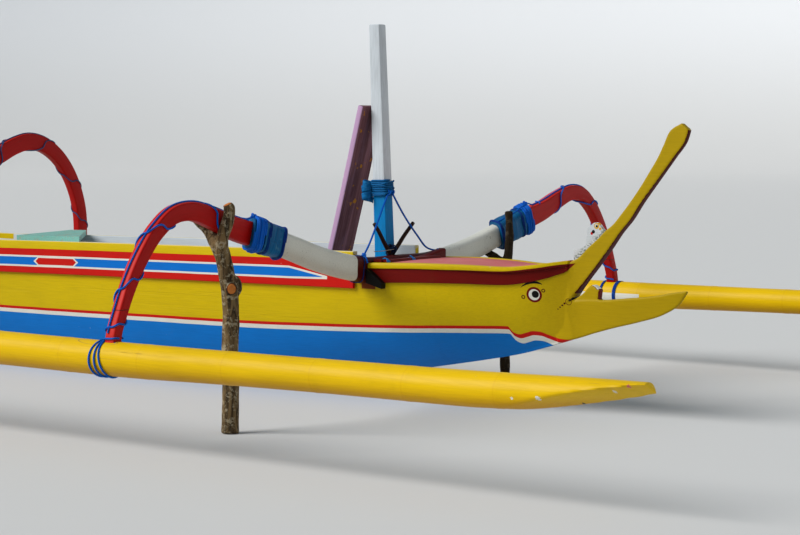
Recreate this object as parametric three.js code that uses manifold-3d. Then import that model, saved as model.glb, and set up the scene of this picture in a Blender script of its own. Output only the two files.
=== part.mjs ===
// Double outrigger canoe with a carved long-jawed bow, standing on its keel and two forked props.
// Millimetres. The build frame has x forward from the fore crossbeam, y to port, z up from the ground.
import * as THREE from 'three';
import { mergeVertices } from 'three/addons/utils/BufferGeometryUtils.js';
import Module from 'manifold-3d';

const wasm = await Module();
wasm.setup();

// Driving dimensions
const seatGap = 0.3;             // clearance left where one piece rests on another
const floatOffset = 1900;        // centreline to the middle of each float
const aftBeamAt = -4120;         // aft crossbeam, measured from the fore one
const bowScarf = 300;            // the carved head is joined to the log here
const sternScarf = -4620;        // and the stern piece here
const logSetIn = 15;             // the log lies this far inside the outer line of the strakes
const hollowAft = -4100;         // the open inside runs between these
const hollowFore = -24;
const hullWall = 32;
const hullFloor = 45;
const capThickness = 25;
const capWidth = 36;
const strakeWall = 34;
const strakeLip = 60;            // the strake laps this far down outside the log
const strakeDepth = 170;
const slabHalf = 22;             // half thickness of trunk, jaw and stern fin
const crestInner = 25.4;         // the crest lies on the trunk's port side
const crestThickness = 20;
const thwartThickness = 25;
const seatBoardThickness = 26;
const deckAft = 18;              // the caps of the foredeck start just ahead of the fore beam
const deckFore = 925;
const sternDeckAft = -4900;
const sternDeckFore = -4254;
const strakeAftEnd = -4250;
const strakeForeEnd = { port: -130, stbd: -72 };
const bodyMiddle = -1514;        // the finished part is centred on its own length

// Paint and wood, as colour, roughness and metalness
const paint = {
  yellow: [0xc8a60a, 0.4], white: [0xe4e2dc, 0.45], red: [0xb01810, 0.4], darkRed: [0x6a0c08, 0.45],
  pink: [0xcf6f72, 0.5], turquoise: [0x86cfba, 0.6], blue: [0x1768b8, 0.45], wrapBlue: [0x0d5a96, 0.5],
  ropeBlue: [0x1a50d0, 0.7], floatYellow: [0xe8c018, 0.35], black: [0x0c0b0a, 0.7], bark: [0x5d4630, 0.9],
  weathered: [0x6a5560, 0.85], wood: [0x8c6a44, 0.8], darkWood: [0x2c2018, 0.85],
};

// Outer line of the hull: station, half beam at the strakes, cap top, keel, fullness of the section
const hullLine = [
  { x: -5100, half: 26, cap: 742, keel: 400, full: 1.0 },
  { x: -4950, half: 52, cap: 722, keel: 352, full: 1.0 },
  { x: -4800, half: 118, cap: 700, keel: 303, full: 0.9 },
  { x: -4620, half: 182, cap: 684, keel: 252, full: 0.78 },
  { x: -4300, half: 252, cap: 668, keel: 173, full: 0.64 },
  { x: -3900, half: 286, cap: 660, keel: 96, full: 0.56 },
  { x: -3300, half: 296, cap: 655, keel: 24, full: 0.5 },
  { x: -2800, half: 298, cap: 650, keel: 0, full: 0.48 },
  { x: -2060, half: 300, cap: 650, keel: 0, full: 0.47 },
  { x: -1350, half: 298, cap: 650, keel: 0, full: 0.48 },
  { x: -800, half: 296, cap: 650, keel: 30, full: 0.5 },
  { x: -300, half: 295, cap: 652, keel: 88, full: 0.54 },
  { x: 0, half: 294, cap: 656, keel: 133, full: 0.58 },
  { x: 300, half: 262, cap: 663, keel: 186, full: 0.66 },
  { x: 480, half: 222, cap: 662, keel: 220, full: 0.74 },
  { x: 660, half: 170, cap: 657, keel: 258, full: 0.84 },
  { x: 800, half: 118, cap: 670, keel: 298, full: 0.94 },
  { x: 900, half: 66, cap: 686, keel: 329, full: 1.0 },
  { x: 940, half: 41, cap: 690, keel: 342, full: 1.0 },
  { x: 960, half: 40, cap: 692, keel: 349, full: 1.0 },
  { x: 1040, half: 37, cap: 700, keel: 373, full: 1.0 },
];

// Top edge of the washstrakes
const strakeTopLine = [
  { x: -4300, z: 692 }, { x: -3600, z: 674 }, { x: -3000, z: 670 }, { x: -2450, z: 679 },
  { x: -1600, z: 690 }, { x: -800, z: 698 }, { x: 0, z: 705 },
];

// Side outline of the bow: jaw, tooth and trunk, going round from the scarf at the keel
const bowOutline = [
  [bowScarf, 100], [576, 160], [933, 335], [1128, 400], [1257, 434], [1380, 474], [1460, 522], [1500, 580],
  [1440, 572], [1370, 556], [1287, 546], [1095, 523], [1064, 521], [1070, 563], [1037, 583], [986, 544],
  [925, 510], [962, 551], [1020, 612], [1064, 669], [1114, 747], [1164, 820], [1213, 872], [1266, 937],
  [1350, 1042], [1427, 1139], [1490, 1222], [1500, 1262], [1462, 1290], [1410, 1258], [1378, 1196],
  [1350, 1141], [1313, 1083], [1250, 990], [1173, 893], [1095, 820], [1016, 750], [954, 695], [942, 690],
];

// Side outline of the stern: heel, upright fin and its swept tip
const sternOutline = [
  [sternScarf, 100], [-4800, 290], [-4950, 352], [-5150, 408], [-5330, 470], [-5400, 540], [-5428, 700],
  [-5438, 880], [-5430, 1050], [-5405, 1210], [-5365, 1350], [-5340, 1440], [-5215, 1560], [-5222, 1470],
  [-5240, 1330], [-5236, 1180], [-5222, 1060], [-5212, 960], [-5196, 860], [-5140, 790], [-5040, 745],
  [-4950, 722],
];

// White crest carved on the port side of the trunk, as a side outline
const crestOutline = [
  [920, 688], [916, 712], [917, 726], [946, 737], [969, 748], [980, 763],
  [980, 782], [985, 802], [984, 818], [1000, 838], [1022, 853], [1042, 844],
  [1053, 830], [1068, 816], [1082, 800], [1062, 768], [1010, 716], [975, 699],
];

// Crossbeams: distance out from the centreline, set aft, height of the middle, depth
const foreBeamRows = [
  { out: 0, back: 26, up: 612, deep: 130 }, { out: 280, back: 25, up: 621, deep: 120 },
  { out: 360, back: 23, up: 634, deep: 114 }, { out: 600, back: 13, up: 685, deep: 109 },
  { out: 846, back: 3, up: 757, deep: 104 }, { out: 1120, back: 0, up: 836, deep: 100 },
];
const aftBeamRows = [
  { out: 0, back: 0, up: 732, deep: 114 }, { out: 250, back: 0, up: 740, deep: 114 },
  { out: 420, back: 0, up: 786, deep: 113 }, { out: 640, back: 0, up: 870, deep: 110 },
  { out: 846, back: 0, up: 958, deep: 106 }, { out: 1120, back: 0, up: 1062, deep: 104 },
];
const beamWidth = 80;
const scarfAt = 985;             // middle of the scarf between beam and arm
const scarfRun = 300;            // the sloping cut runs this far out over a height of 400

// Arms: middle line outwards and down to the float, with the depth in their own plane
const foreArmRows = [
  { out: 860, up: 760, deep: 100 }, { out: 1060, up: 814, deep: 102 }, { out: 1200, up: 850, deep: 96 },
  { out: 1330, up: 897, deep: 86 }, { out: 1460, up: 929, deep: 77 }, { out: 1560, up: 918, deep: 72 },
  { out: 1660, up: 855, deep: 66 }, { out: 1745, up: 760, deep: 61 }, { out: 1812, up: 655, deep: 56 },
  { out: 1866, up: 540, deep: 50 }, { out: 1895, up: 465, deep: 48 }, { out: 1905, up: 400, deep: 48 },
];
const aftArmRows = [
  { out: 860, up: 963, deep: 108 }, { out: 1060, up: 1038, deep: 110 }, { out: 1200, up: 1098, deep: 110 },
  { out: 1320, up: 1150, deep: 108 }, { out: 1440, up: 1178, deep: 106 }, { out: 1570, up: 1160, deep: 100 },
  { out: 1690, up: 1092, deep: 95 }, { out: 1790, up: 985, deep: 90 }, { out: 1862, up: 850, deep: 86 },
  { out: 1902, up: 700, deep: 84 }, { out: 1908, up: 560, deep: 80 }, { out: 1905, up: 400, deep: 76 },
];
const armWidth = { fore: 52, aft: 56 };
const armCorner = 7;
const beamCorner = 24;

// Bound joint between beam and arm: distance out, extra all round the wood inside. Each of the fore joints
// is bound to suit itself: the whole binding moved out, or only its inner end moved in.
const wrapMove = { fore_port: { whole: 0, inner: -82 }, fore_stbd: { whole: 55, inner: 0 } };
const wrapRows = [
  { out: 842, grow: 11 }, { out: 850, grow: 15 }, { out: 960, grow: 17 }, { out: 966, grow: 23 },
  { out: 1050, grow: 24 }, { out: 1058, grow: 16 },
];

// Floats: station, height of the middle, radius
const floatRows = [
  { x: -4860, z: 374, r: 40 }, { x: -4850, z: 374, r: 64 }, { x: -4120, z: 370, r: 69 },
  { x: -2500, z: 366, r: 70 }, { x: -640, z: 368, r: 68 }, { x: 0, z: 367, r: 69 },
  { x: 600, z: 374, r: 65 }, { x: 1130, z: 380, r: 63 }, { x: 1660, z: 384, r: 63 },
  { x: 1910, z: 391, r: 60 }, { x: 2150, z: 399, r: 58 }, { x: 2390, z: 404, r: 56 },
];
// The floats' fore ends are cut away low on the outer side, down to a share of the radius past the middle
const tipCut = { from: 1887, to: 2390, slope: 63, depth: -0.64, half: 90 };

// Mast, square and raked aft, with its plank leaning on it
const mast = { x: -121, atHeight: 900, rake: 2.3, foot: 192, top: 1750, long: [77, 58], wide: [68, 53] };
const plank = { x: -400, atHeight: 688, lean: 15.8, width: 165, thick: 28, foot: 186, top: 1385 };

// Bent board standing on the log along the front of the fore beam: place across, top edge
const board = { aft: 17, fore: 60, chamfer: 8 };
const boardRows = [
  { y: -254, top: 668 }, { y: -70, top: 657 }, { y: 0, top: 656 }, { y: 125, top: 666 },
  { y: 220, top: 688 }, { y: 254, top: 694 },
];

// Forked props: points as ahead of the beam, out, up, radius
const nearProp = {
  stem: [
    [50, -1276, 0, 38], [48, -1272, 300, 36], [40, -1268, 610, 36], [33, -1284, 700, 35],
    [24, -1296, 762, 35],
  ],
  prongs: [
    [
      [26, -1296, 748, 32], [44, -1306, 827, 25], [56, -1292, 875, 26], [62, -1280, 920, 25],
      [64, -1288, 955, 21],
    ],
    [
      [22, -1296, 748, 32], [-14, -1294, 797, 27], [-54, -1290, 845, 24], [-78, -1330, 888, 21],
      [-88, -1366, 920, 18],
    ],
    [[44, -1262, 602, 30], [66, -1284, 604, 25], [79, -1294, 605, 21]],
  ],
};
const farProp = {
  stem: [[88, 726, 0, 26], [84, 722, 300, 24], [88, 718, 520, 25], [94, 717, 600, 27]],
  prongs: [
    [[95, 718, 585, 26], [106, 724, 660, 24], [107, 728, 760, 23], [104, 726, 858, 21]],
    [[90, 716, 590, 24], [40, 712, 625, 21], [-12, 709, 653, 19], [-62, 701, 688, 17], [-74, 700, 712, 15]],
  ],
};

// Value at x in a table of rows, straight between them
function along(rows, x, value, key = 'x') {
  let i = 1;
  while (i < rows.length - 1 && rows[i][key] < x) i += 1;
  const before = rows[i - 1];
  const share = (x - before[key]) / (rows[i][key] - before[key]);
  return before[value] + share * (rows[i][value] - before[value]);
}

// Every station of both tables between two ends, so that neighbours share their facets
function stationsBetween(from, to) {
  const listed = [...hullLine, ...strakeTopLine].map((row) => row.x);
  const inside = listed.filter((x) => x > from + 1 && x < to - 1);
  return [from, ...new Set(inside.sort((a, b) => a - b)), to];
}

function halfBeam(x) {
  return along(hullLine, x, 'half');
}

function capTop(x) {
  return along(hullLine, x, 'cap');
}

function strakeTop(x) {
  return along(strakeTopLine, x, 'z');
}

function strakeSeat(x) {
  return strakeTop(x) - strakeDepth + strakeLip;
}

// A closed mesh through rings of equal length, capped at both ends from the middle of each ring
function loft(rings) {
  const count = rings[0].length;
  const points = rings.flat().map((p) => new THREE.Vector3(...p));
  const faces = [];
  for (let r = 0; r < rings.length - 1; r += 1) {
    for (let i = 0; i < count; i += 1) {
      const a = r * count + i;
      const b = r * count + (i + 1) % count;
      faces.push([a, b, b + count], [a, b + count, a + count]);
    }
  }
  for (const [ring, first] of [[0, true], [rings.length - 1, false]]) {
    const middle = new THREE.Vector3();
    for (let i = 0; i < count; i += 1) middle.addScaledVector(points[ring * count + i], 1 / count);
    const hub = points.push(middle) - 1;
    for (let i = 0; i < count; i += 1) {
      const a = ring * count + i;
      const b = ring * count + (i + 1) % count;
      faces.push(first ? [hub, b, a] : [hub, a, b]);
    }
  }
  return meshFrom(points, faces);
}

function meshFrom(points, faces) {
  let volume = 0;
  for (const [a, b, c] of faces) {
    volume += points[a].dot(new THREE.Vector3().crossVectors(points[b], points[c]));
  }
  const turned = volume < 0 ? faces.map(([a, b, c]) => [a, c, b]) : faces;
  const geometry = new THREE.BufferGeometry().setFromPoints(points);
  geometry.setIndex(turned.flat());
  return geometry;
}

function toSolid(geometry) {
  const bare = geometry.clone();
  bare.deleteAttribute('normal');
  bare.deleteAttribute('uv');
  const merged = mergeVertices(bare);
  const vertProperties = Float32Array.from(merged.attributes.position.array);
  const triVerts = Uint32Array.from(merged.index.array);
  return new wasm.Manifold(new wasm.Mesh({ numProp: 3, vertProperties, triVerts }));
}

function toGeometry(solid) {
  const mesh = solid.getMesh();
  const geometry = new THREE.BufferGeometry();
  geometry.setAttribute('position', new THREE.BufferAttribute(Float32Array.from(mesh.vertProperties), 3));
  geometry.setIndex(Array.from(mesh.triVerts));
  return geometry;
}

function cut(geometry, ...tools) {
  let solid = toSolid(geometry);
  for (const tool of tools) solid = solid.subtract(toSolid(tool));
  return toGeometry(solid);
}

function join(...geometries) {
  let solid = toSolid(geometries[0]);
  for (const other of geometries.slice(1)) solid = solid.add(toSolid(other));
  return toGeometry(solid);
}

// A straight-sided block between two corners
function block(x0, x1, y0, y1, z0, z1) {
  const geometry = new THREE.BoxGeometry(x1 - x0, y1 - y0, z1 - z0);
  geometry.translate((x0 + x1) / 2, (y0 + y1) / 2, (z0 + z1) / 2);
  return geometry;
}

// A side outline in x and z, made as thick as y0 to y1
function sidePlate(outline, y0, y1) {
  const shape = new THREE.Shape(outline.map(([x, z]) => new THREE.Vector2(x, z)));
  const geometry = new THREE.ExtrudeGeometry(shape, { depth: y1 - y0, bevelEnabled: false });
  geometry.rotateX(Math.PI / 2);
  geometry.translate(0, y1, 0);
  return geometry;
}

// One side of the hull's section at x: from the keel up, y = half . sin(90 deg . t ^ full)
function halfSection(x, { inset = 0, floor = 0, top, steps = 7 }) {
  const half = Math.max(halfBeam(x) - logSetIn - inset, slabHalf - 4);
  const keel = along(hullLine, x, 'keel') + floor;
  const full = along(hullLine, x, 'full');
  const upper = capTop(x) - capThickness - seatGap;
  const side = [];
  for (let i = 0; i <= steps; i += 1) {
    const t = (i / steps) ** 1.4;
    const out = Math.max(half * Math.sin((Math.PI / 2) * t ** full), Math.min(10, half));
    side.push([x, out, keel + t * (upper - keel)]);
  }
  if (top !== undefined) side.push([x, half, top]);
  return side;
}

function hullRing(x, options) {
  const side = halfSection(x, options);
  const mirrored = side.map(([px, y, z]) => [px, -y, z]).reverse();
  return [...side, ...mirrored];
}

// Carved piece at one end: the hull's own sections, drawn up tall, cut to a side outline
function endPiece(stations, outline) {
  const rings = stations.map((x) => hullRing(x, { top: 1700 }));
  const tall = toSolid(loft(rings));
  return toGeometry(tall.intersect(toSolid(sidePlate(outline, -400, 400))));
}

function bowHead() {
  const stations = [...stationsBetween(bowScarf + seatGap / 2, 1040), 1600];
  const under = [deckFore + 1, 900, 800, 660, 480, bowScarf];
  const deck = under.map((x) => [x, capTop(x) - capThickness - seatGap]);
  return endPiece(stations, [...bowOutline, ...deck]);
}

function sternFin() {
  const stations = [-5700, ...stationsBetween(-5100, sternScarf - seatGap / 2)];
  const deck = [sternDeckAft - 1, -4800, sternScarf].map((x) => [x, capTop(x) - capThickness - seatGap]);
  return endPiece(stations, [...sternOutline, ...deck]);
}

// The open inside of the log, drawn in all round by a margin
function hollowSpace(margin) {
  const options = { inset: hullWall + margin, floor: hullFloor + margin, top: 900 };
  return loft(stationsBetween(hollowAft, hollowFore).map((x) => hullRing(x, options)));
}

// The log: outer sections, less the open inside, the strake seats and the notch for the fore beam
function hullShell() {
  const stations = stationsBetween(sternScarf + seatGap / 2, bowScarf - seatGap / 2);
  const outer = loft(stations.map((x) => hullRing(x, {})));
  const seatStations = stationsBetween(strakeAftEnd, strakeForeEnd.stbd + seatGap);
  const seat = seatStations.map((x) => [x, strakeSeat(x)]);
  const above = sidePlate([...seat, [seatStations.at(-1), 900], [strakeAftEnd, 900]], -400, 400);
  return cut(outer, hollowSpace(0), above, beamBody(foreBeamRows, 0, seatGap));
}

// Washstrake: a plank above the log with a lip that laps down outside it
function washstrake(side) {
  const hand = side === 'port' ? 1 : -1;
  const fore = strakeForeEnd[side];
  const rings = stationsBetween(strakeAftEnd + seatGap, fore).map((x) => {
    const out = halfBeam(x);
    const top = strakeTop(x);
    const seat = strakeSeat(x) + seatGap;
    const section = [
      [out, top - strakeDepth], [out, top], [out - strakeWall, top], [out - strakeWall, seat],
      [out - logSetIn + seatGap, seat], [out - logSetIn + seatGap, top - strakeDepth],
    ];
    return section.map(([y, z]) => [x, hand * y, z]);
  });
  return loft(rings);
}

// Cap along the edge of a deck; the row of stations sets its reach
function capRail(stations, hand) {
  const rings = stations.map((x) => {
    const outer = halfBeam(x) + 5;
    const inner = Math.max(halfBeam(x) - capWidth + 5, slabHalf + seatGap);
    const top = capTop(x);
    const foot = top - capThickness;
    const section = [[outer, foot], [outer, top - 4], [outer - 4, top], [inner, top], [inner, foot]];
    return section.map(([y, z]) => [x, hand * y, z]);
  });
  return loft(rings);
}

// Dark strake under the cap, drawn to a point at the root of the trunk or fin
function endStrake(stations, hand, wideEnd, pointEnd) {
  const rings = stations.map((x) => {
    const share = (x - wideEnd) / (pointEnd - wideEnd);
    const depth = 67 - 30 * share ** 3;
    const top = capTop(x) - capThickness - seatGap;
    const outer = halfBeam(x) - 3 - 7 * share ** 2;
    const inner = halfBeam(x) - logSetIn + seatGap;
    const section = [[outer, top - depth], [outer, top], [inner, top], [inner, top - depth]];
    return section.map(([y, z]) => [x, hand * y, z]);
  });
  return loft(rings);
}

// Deck board between the caps
function deckBoard(stations) {
  const rings = stations.map((x) => {
    const edge = halfBeam(x) - capWidth + 5 - seatGap;
    const top = capTop(x);
    return [[x, edge, top - capThickness], [x, edge, top], [x, -edge, top], [x, -edge, top - capThickness]];
  });
  return loft(rings);
}

// Plank across the hull, carried on the inner ledge of the log between the strakes
function thwart(from, to) {
  const seat = Math.max(strakeSeat(from), strakeSeat(to)) + seatGap;
  const top = seat + thwartThickness;
  const rings = [from, to].map((x) => {
    const edge = halfBeam(x) - strakeWall - 2 * seatGap;
    return [[x, edge, seat], [x, edge, top], [x, -edge, top], [x, -edge, seat]];
  });
  return loft(rings);
}

// Rectangle with cut corners across a line that lies in the y-z plane
function barRing({ x, y, z }, tilt, wide, deep, corner) {
  const w = wide / 2;
  const d = deep / 2;
  const flat = [
    [w, d - corner], [w - corner, d], [corner - w, d], [-w, d - corner],
    [-w, corner - d], [corner - w, -d], [w - corner, -d], [w, corner - d],
  ];
  return flat.map(([a, b]) => [x + a, y - b * Math.sin(tilt), z + b * Math.cos(tilt)]);
}

// Tilt of a line of rows at row i, from the rows on both sides of it
function tiltAt(rows, i) {
  const before = rows[Math.max(i - 1, 0)];
  const after = rows[Math.min(i + 1, rows.length - 1)];
  return Math.atan2(after.up - before.up, after.out - before.out);
}

function barAlong(rows, x, hand, wide, corner, grow = 0) {
  const rings = rows.map((row, i) => {
    const middle = { x: x - (row.back ?? 0), y: row.out, z: row.up };
    return barRing(middle, tiltAt(rows, i), wide + 2 * grow, row.deep + 2 * grow, corner + grow / 2);
  });
  return loft(rings.map((ring) => ring.map(([px, y, z]) => [px, hand * y, z])));
}

function fullBeamRows(rows) {
  const other = rows.slice(1).map((row) => ({ ...row, out: -row.out })).reverse();
  return [...other, ...rows];
}

function beamBody(rows, x, grow = 0) {
  return barAlong(fullBeamRows(rows), x, 1, beamWidth, beamCorner, grow);
}

// Wedge of space on one side of the sloping scarf cut
function scarfCutter(rows, x, hand, keepInboard) {
  const height = along(rows, scarfAt, 'up', 'out');
  const rise = (along(rows, scarfAt + 50, 'up', 'out') - along(rows, scarfAt - 50, 'up', 'out')) / 100;
  const slip = keepInboard ? -seatGap : 0;
  const reach = keepInboard ? 900 : -900;
  const low = [scarfAt - scarfRun / 2 + slip, height - 200 - rise * scarfRun / 2];
  const high = [scarfAt + scarfRun / 2 + slip, height + 200 + rise * scarfRun / 2];
  const corners = [low, high, [high[0] + reach, high[1]], [low[0] + reach, low[1]]];
  const rings = [x - 200, x + 200].map((px) => corners.map(([out, up]) => [px, hand * out, up]));
  return loft(rings);
}

function crossbeam(rows, x, ...seats) {
  return cut(beamBody(rows, x), scarfCutter(rows, x, 1, true), scarfCutter(rows, x, -1, true), ...seats);
}

// Space over one strake, for the seat cut in the underside of the aft beam
function strakeNotch(hand) {
  const [aft, fore] = [aftBeamAt - 50, aftBeamAt + 50];
  const seat = [fore, aft].map((x) => [x, strakeTop(x) + seatGap]);
  const outline = [[aft, 500], [fore, 500], ...seat];
  const outer = halfBeam(fore) + 2;
  const inner = halfBeam(aft) - strakeWall - 2;
  return hand > 0 ? sidePlate(outline, inner, outer) : sidePlate(outline, -outer, -inner);
}

function arm(rows, beamRows, x, hand, wide) {
  const bar = barAlong(rows, x, hand, wide, armCorner);
  return cut(bar, scarfCutter(beamRows, x, hand, false), floatBody(hand, seatGap));
}

// Rubber and cord bound round the joint, hollow where the wood passes
function jointWrap(beamRows, armRows, x, hand, armWide, move = { whole: 0, inner: 0 }) {
  const rows = wrapRows.map(({ out, grow }, i) => {
    const at = out + move.whole + (i < 2 ? move.inner : 0);
    const up = at < armRows[0].out
      ? along(beamRows, at, 'up', 'out')
      : (along(beamRows, at, 'up', 'out') + along(armRows, at, 'up', 'out')) / 2;
    const armDeep = along(armRows, Math.max(at, armRows[0].out), 'deep', 'out');
    const deep = Math.max(along(beamRows, at, 'deep', 'out'), armDeep) + 2 * grow;
    return { out: at, up, deep };
  });
  const rings = rows.map((row, i) => {
    const extra = wrapRows[i].grow;
    const ring = barRing({ x, y: row.out, z: row.up }, tiltAt(rows, i), beamWidth + 2 * extra, row.deep, 34);
    return ring.map(([px, y, z]) => [px, hand * y, z]);
  });
  const beamClear = barAlong(beamRows, x, hand, beamWidth, beamCorner, seatGap);
  const armClear = barAlong(armRows, x, hand, armWide, armCorner, seatGap);
  return cut(loft(rings), beamClear, armClear);
}

function circleRing(x, y, z, r, sides = 12) {
  const ring = [];
  for (let i = 0; i < sides; i += 1) {
    const turn = (2 * Math.PI * i) / sides;
    ring.push([x, y + r * Math.cos(turn), z + r * Math.sin(turn)]);
  }
  return ring;
}

function floatBody(hand, grow = 0) {
  return loft(floatRows.map(({ x, z, r }) => circleRing(x, hand * floatOffset, z, r + grow, 14)));
}

// Space under the slanting cut at the fore end of a float: the cut faces down and outwards
function tipSpace(hand) {
  const turn = THREE.MathUtils.degToRad(tipCut.slope);
  const down = [hand * Math.cos(turn), -Math.sin(turn)];
  const across = [Math.sin(turn), hand * Math.cos(turn)];
  const rings = [[tipCut.from, 1], [tipCut.to, tipCut.depth]].map(([x, share]) => {
    const middle = along(floatRows, x, 'z');
    const near = share * along(floatRows, x, 'r');
    const far = near + 3 * tipCut.half;
    const corners = [[near, -tipCut.half], [near, tipCut.half], [far, tipCut.half], [far, -tipCut.half]];
    return corners.map(([a, b]) => {
      const y = hand * floatOffset + a * down[0] + b * across[0];
      const z = middle + a * down[1] + b * across[1];
      return [x === tipCut.to ? x + 1 : x, y, z];
    });
  });
  return loft(rings);
}

function float(hand) {
  return cut(floatBody(hand), tipSpace(hand));
}

// Round limb through points of x, y, z and radius
function limb(points, sides = 8) {
  const rings = points.map(([x, y, z, r], i) => {
    const a = new THREE.Vector3(...points[Math.max(i - 1, 0)].slice(0, 3));
    const b = new THREE.Vector3(...points[Math.min(i + 1, points.length - 1)].slice(0, 3));
    const line = b.sub(a).normalize();
    const lead = Math.abs(line.z) > 0.6 ? new THREE.Vector3(1, 0, 0) : new THREE.Vector3(0, 0, 1);
    const u = new THREE.Vector3().crossVectors(line, lead).normalize();
    const v = new THREE.Vector3().crossVectors(line, u);
    const ring = [];
    for (let k = 0; k < sides; k += 1) {
      const turn = (2 * Math.PI * k) / sides;
      const spoke = u.clone().multiplyScalar(r * Math.cos(turn)).addScaledVector(v, r * Math.sin(turn));
      ring.push([x + spoke.x, y + spoke.y, z + spoke.z]);
    }
    return ring;
  });
  return loft(rings);
}

function forkedProp({ stem, prongs }, ...seats) {
  const wood = join(limb(stem), ...prongs.map((points) => limb(points)));
  const buried = block(-400, 400, -2000, 2000, -200, 0);
  return cut(wood, buried, ...seats);
}

function mastX(z) {
  return mast.x - (z - mast.atHeight) * Math.tan(THREE.MathUtils.degToRad(mast.rake));
}

function mastBody(grow = 0) {
  const ends = [[mast.foot, 0], [mast.top, 1]];
  const rings = ends.map(([z, end]) => {
    const long = mast.long[end] / 2 + grow;
    const wide = mast.wide[end] / 2 + grow;
    const x = mastX(z);
    const c = 6;
    return [
      [x + long, wide - c, z], [x + long - c, wide, z], [x - long + c, wide, z], [x - long, wide - c, z],
      [x - long, c - wide, z], [x - long + c, -wide, z], [x + long - c, -wide, z], [x + long, c - wide, z],
    ];
  });
  return loft(rings);
}

// Block from x0 to x1 shaped to the inside of the hull
function fittedBlock(x0, x1, top) {
  const inside = toSolid(hollowSpace(seatGap));
  return toGeometry(inside.intersect(toSolid(block(x0, x1, -300, 300, 0, top))));
}

// Block on the floor of the hull, with a socket for the foot of the mast
function mastStep() {
  return cut(fittedBlock(-215, -40, mast.foot + 55), mastBody(seatGap));
}

function leaningPlank() {
  const slope = Math.tan(THREE.MathUtils.degToRad(plank.lean));
  const across = plank.thick / Math.cos(THREE.MathUtils.degToRad(plank.lean));
  const rings = [plank.foot, plank.top].map((z) => {
    const x = plank.x + (z - plank.atHeight) * slope;
    const half = plank.width / 2;
    return [[x, -half, z], [x + across, -half, z], [x + across, half, z], [x, half, z]];
  });
  return loft(rings);
}

// Flat sole board low in the hull, on three bearers shaped to its sides
function soleBoard() {
  const top = plank.foot - seatGap;
  const plate = block(-3150, -480, -100, 100, top - 22, top);
  const bearers = [-2900, -1950, -1000].map((x) => fittedBlock(x - 25, x + 25, top - 21));
  return join(plate, ...bearers);
}

// Loose board lying askew across the strakes, narrow at its port end
function seatBoard() {
  const corners = [[-2317, -292], [-1852, -292], [-2400, 292], [-2520, 292]];
  const rise = (strakeTop(-1852) - strakeTop(-2400)) / (2400 - 1852);
  const rings = [0, seatBoardThickness].map((up) => corners.map(([x, y]) => {
    return [x, y, strakeTop(-2400) + (x + 2400) * rise + seatGap + up];
  }));
  return loft(rings);
}

// Two dark sticks lashed into a V at the foot of the mast, standing on the beam
function crotchSticks() {
  const foot = [-52, -32, 650, 11];
  const left = limb([foot, [-54, -155, 826, 10]], 6);
  const right = limb([foot, [-50, 138, 820, 10]], 6);
  return cut(join(left, right), mastBody(seatGap), beamBody(foreBeamRows, 0, seatGap));
}

// Rope stay from the side of the mast to the beam over the gunwale
function stay(hand) {
  const rope = limb([[mastX(965), hand * 20, 966, 5], [-24, hand * 292, 660, 5]], 6);
  return cut(rope, mastBody(seatGap), beamBody(foreBeamRows, 0, seatGap));
}

// Dark board standing low between the beam and the foredeck, with a bent top edge
function beamBoard() {
  const foot = capTop(board.fore) - capThickness;
  const rings = boardRows.map(({ y, top }) => {
    const section = [
      [board.aft, foot], [board.fore, foot], [board.fore, top - board.chamfer],
      [board.fore - board.chamfer, top], [board.aft, top],
    ];
    return section.map(([x, z]) => [x, y, z]);
  });
  return cut(loft(rings), beamBody(foreBeamRows, 0, seatGap));
}

// Black wedge nailed on the hull's side where the beam leaves it
function beamChock(hand) {
  const rows = [
    { x: 22, low: 566, high: 630 }, { x: 50, low: 558, high: 614 }, { x: 104, low: 542, high: 570 },
  ];
  const rings = rows.map(({ x, low, high }) => {
    const inner = halfBeam(x) - 3 + seatGap;
    const outer = inner + 30;
    return [[inner, low], [outer, low], [outer, high], [inner, high]].map(([y, z]) => [x, hand * y, z]);
  });
  return loft(rings);
}

function crest() {
  return sidePlate(crestOutline, crestInner, crestInner + crestThickness);
}

const boat = new THREE.Group();
boat.position.x = -bodyMiddle;

function add(name, geometry, [colour, roughness]) {
  const material = new THREE.MeshStandardMaterial({ color: colour, roughness, metalness: 0 });
  const mesh = new THREE.Mesh(geometry, material);
  mesh.name = name;
  boat.add(mesh);
}

const bowStations = stationsBetween(deckAft, deckFore);
const sternStations = stationsBetween(sternDeckAft, sternDeckFore);

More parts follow.
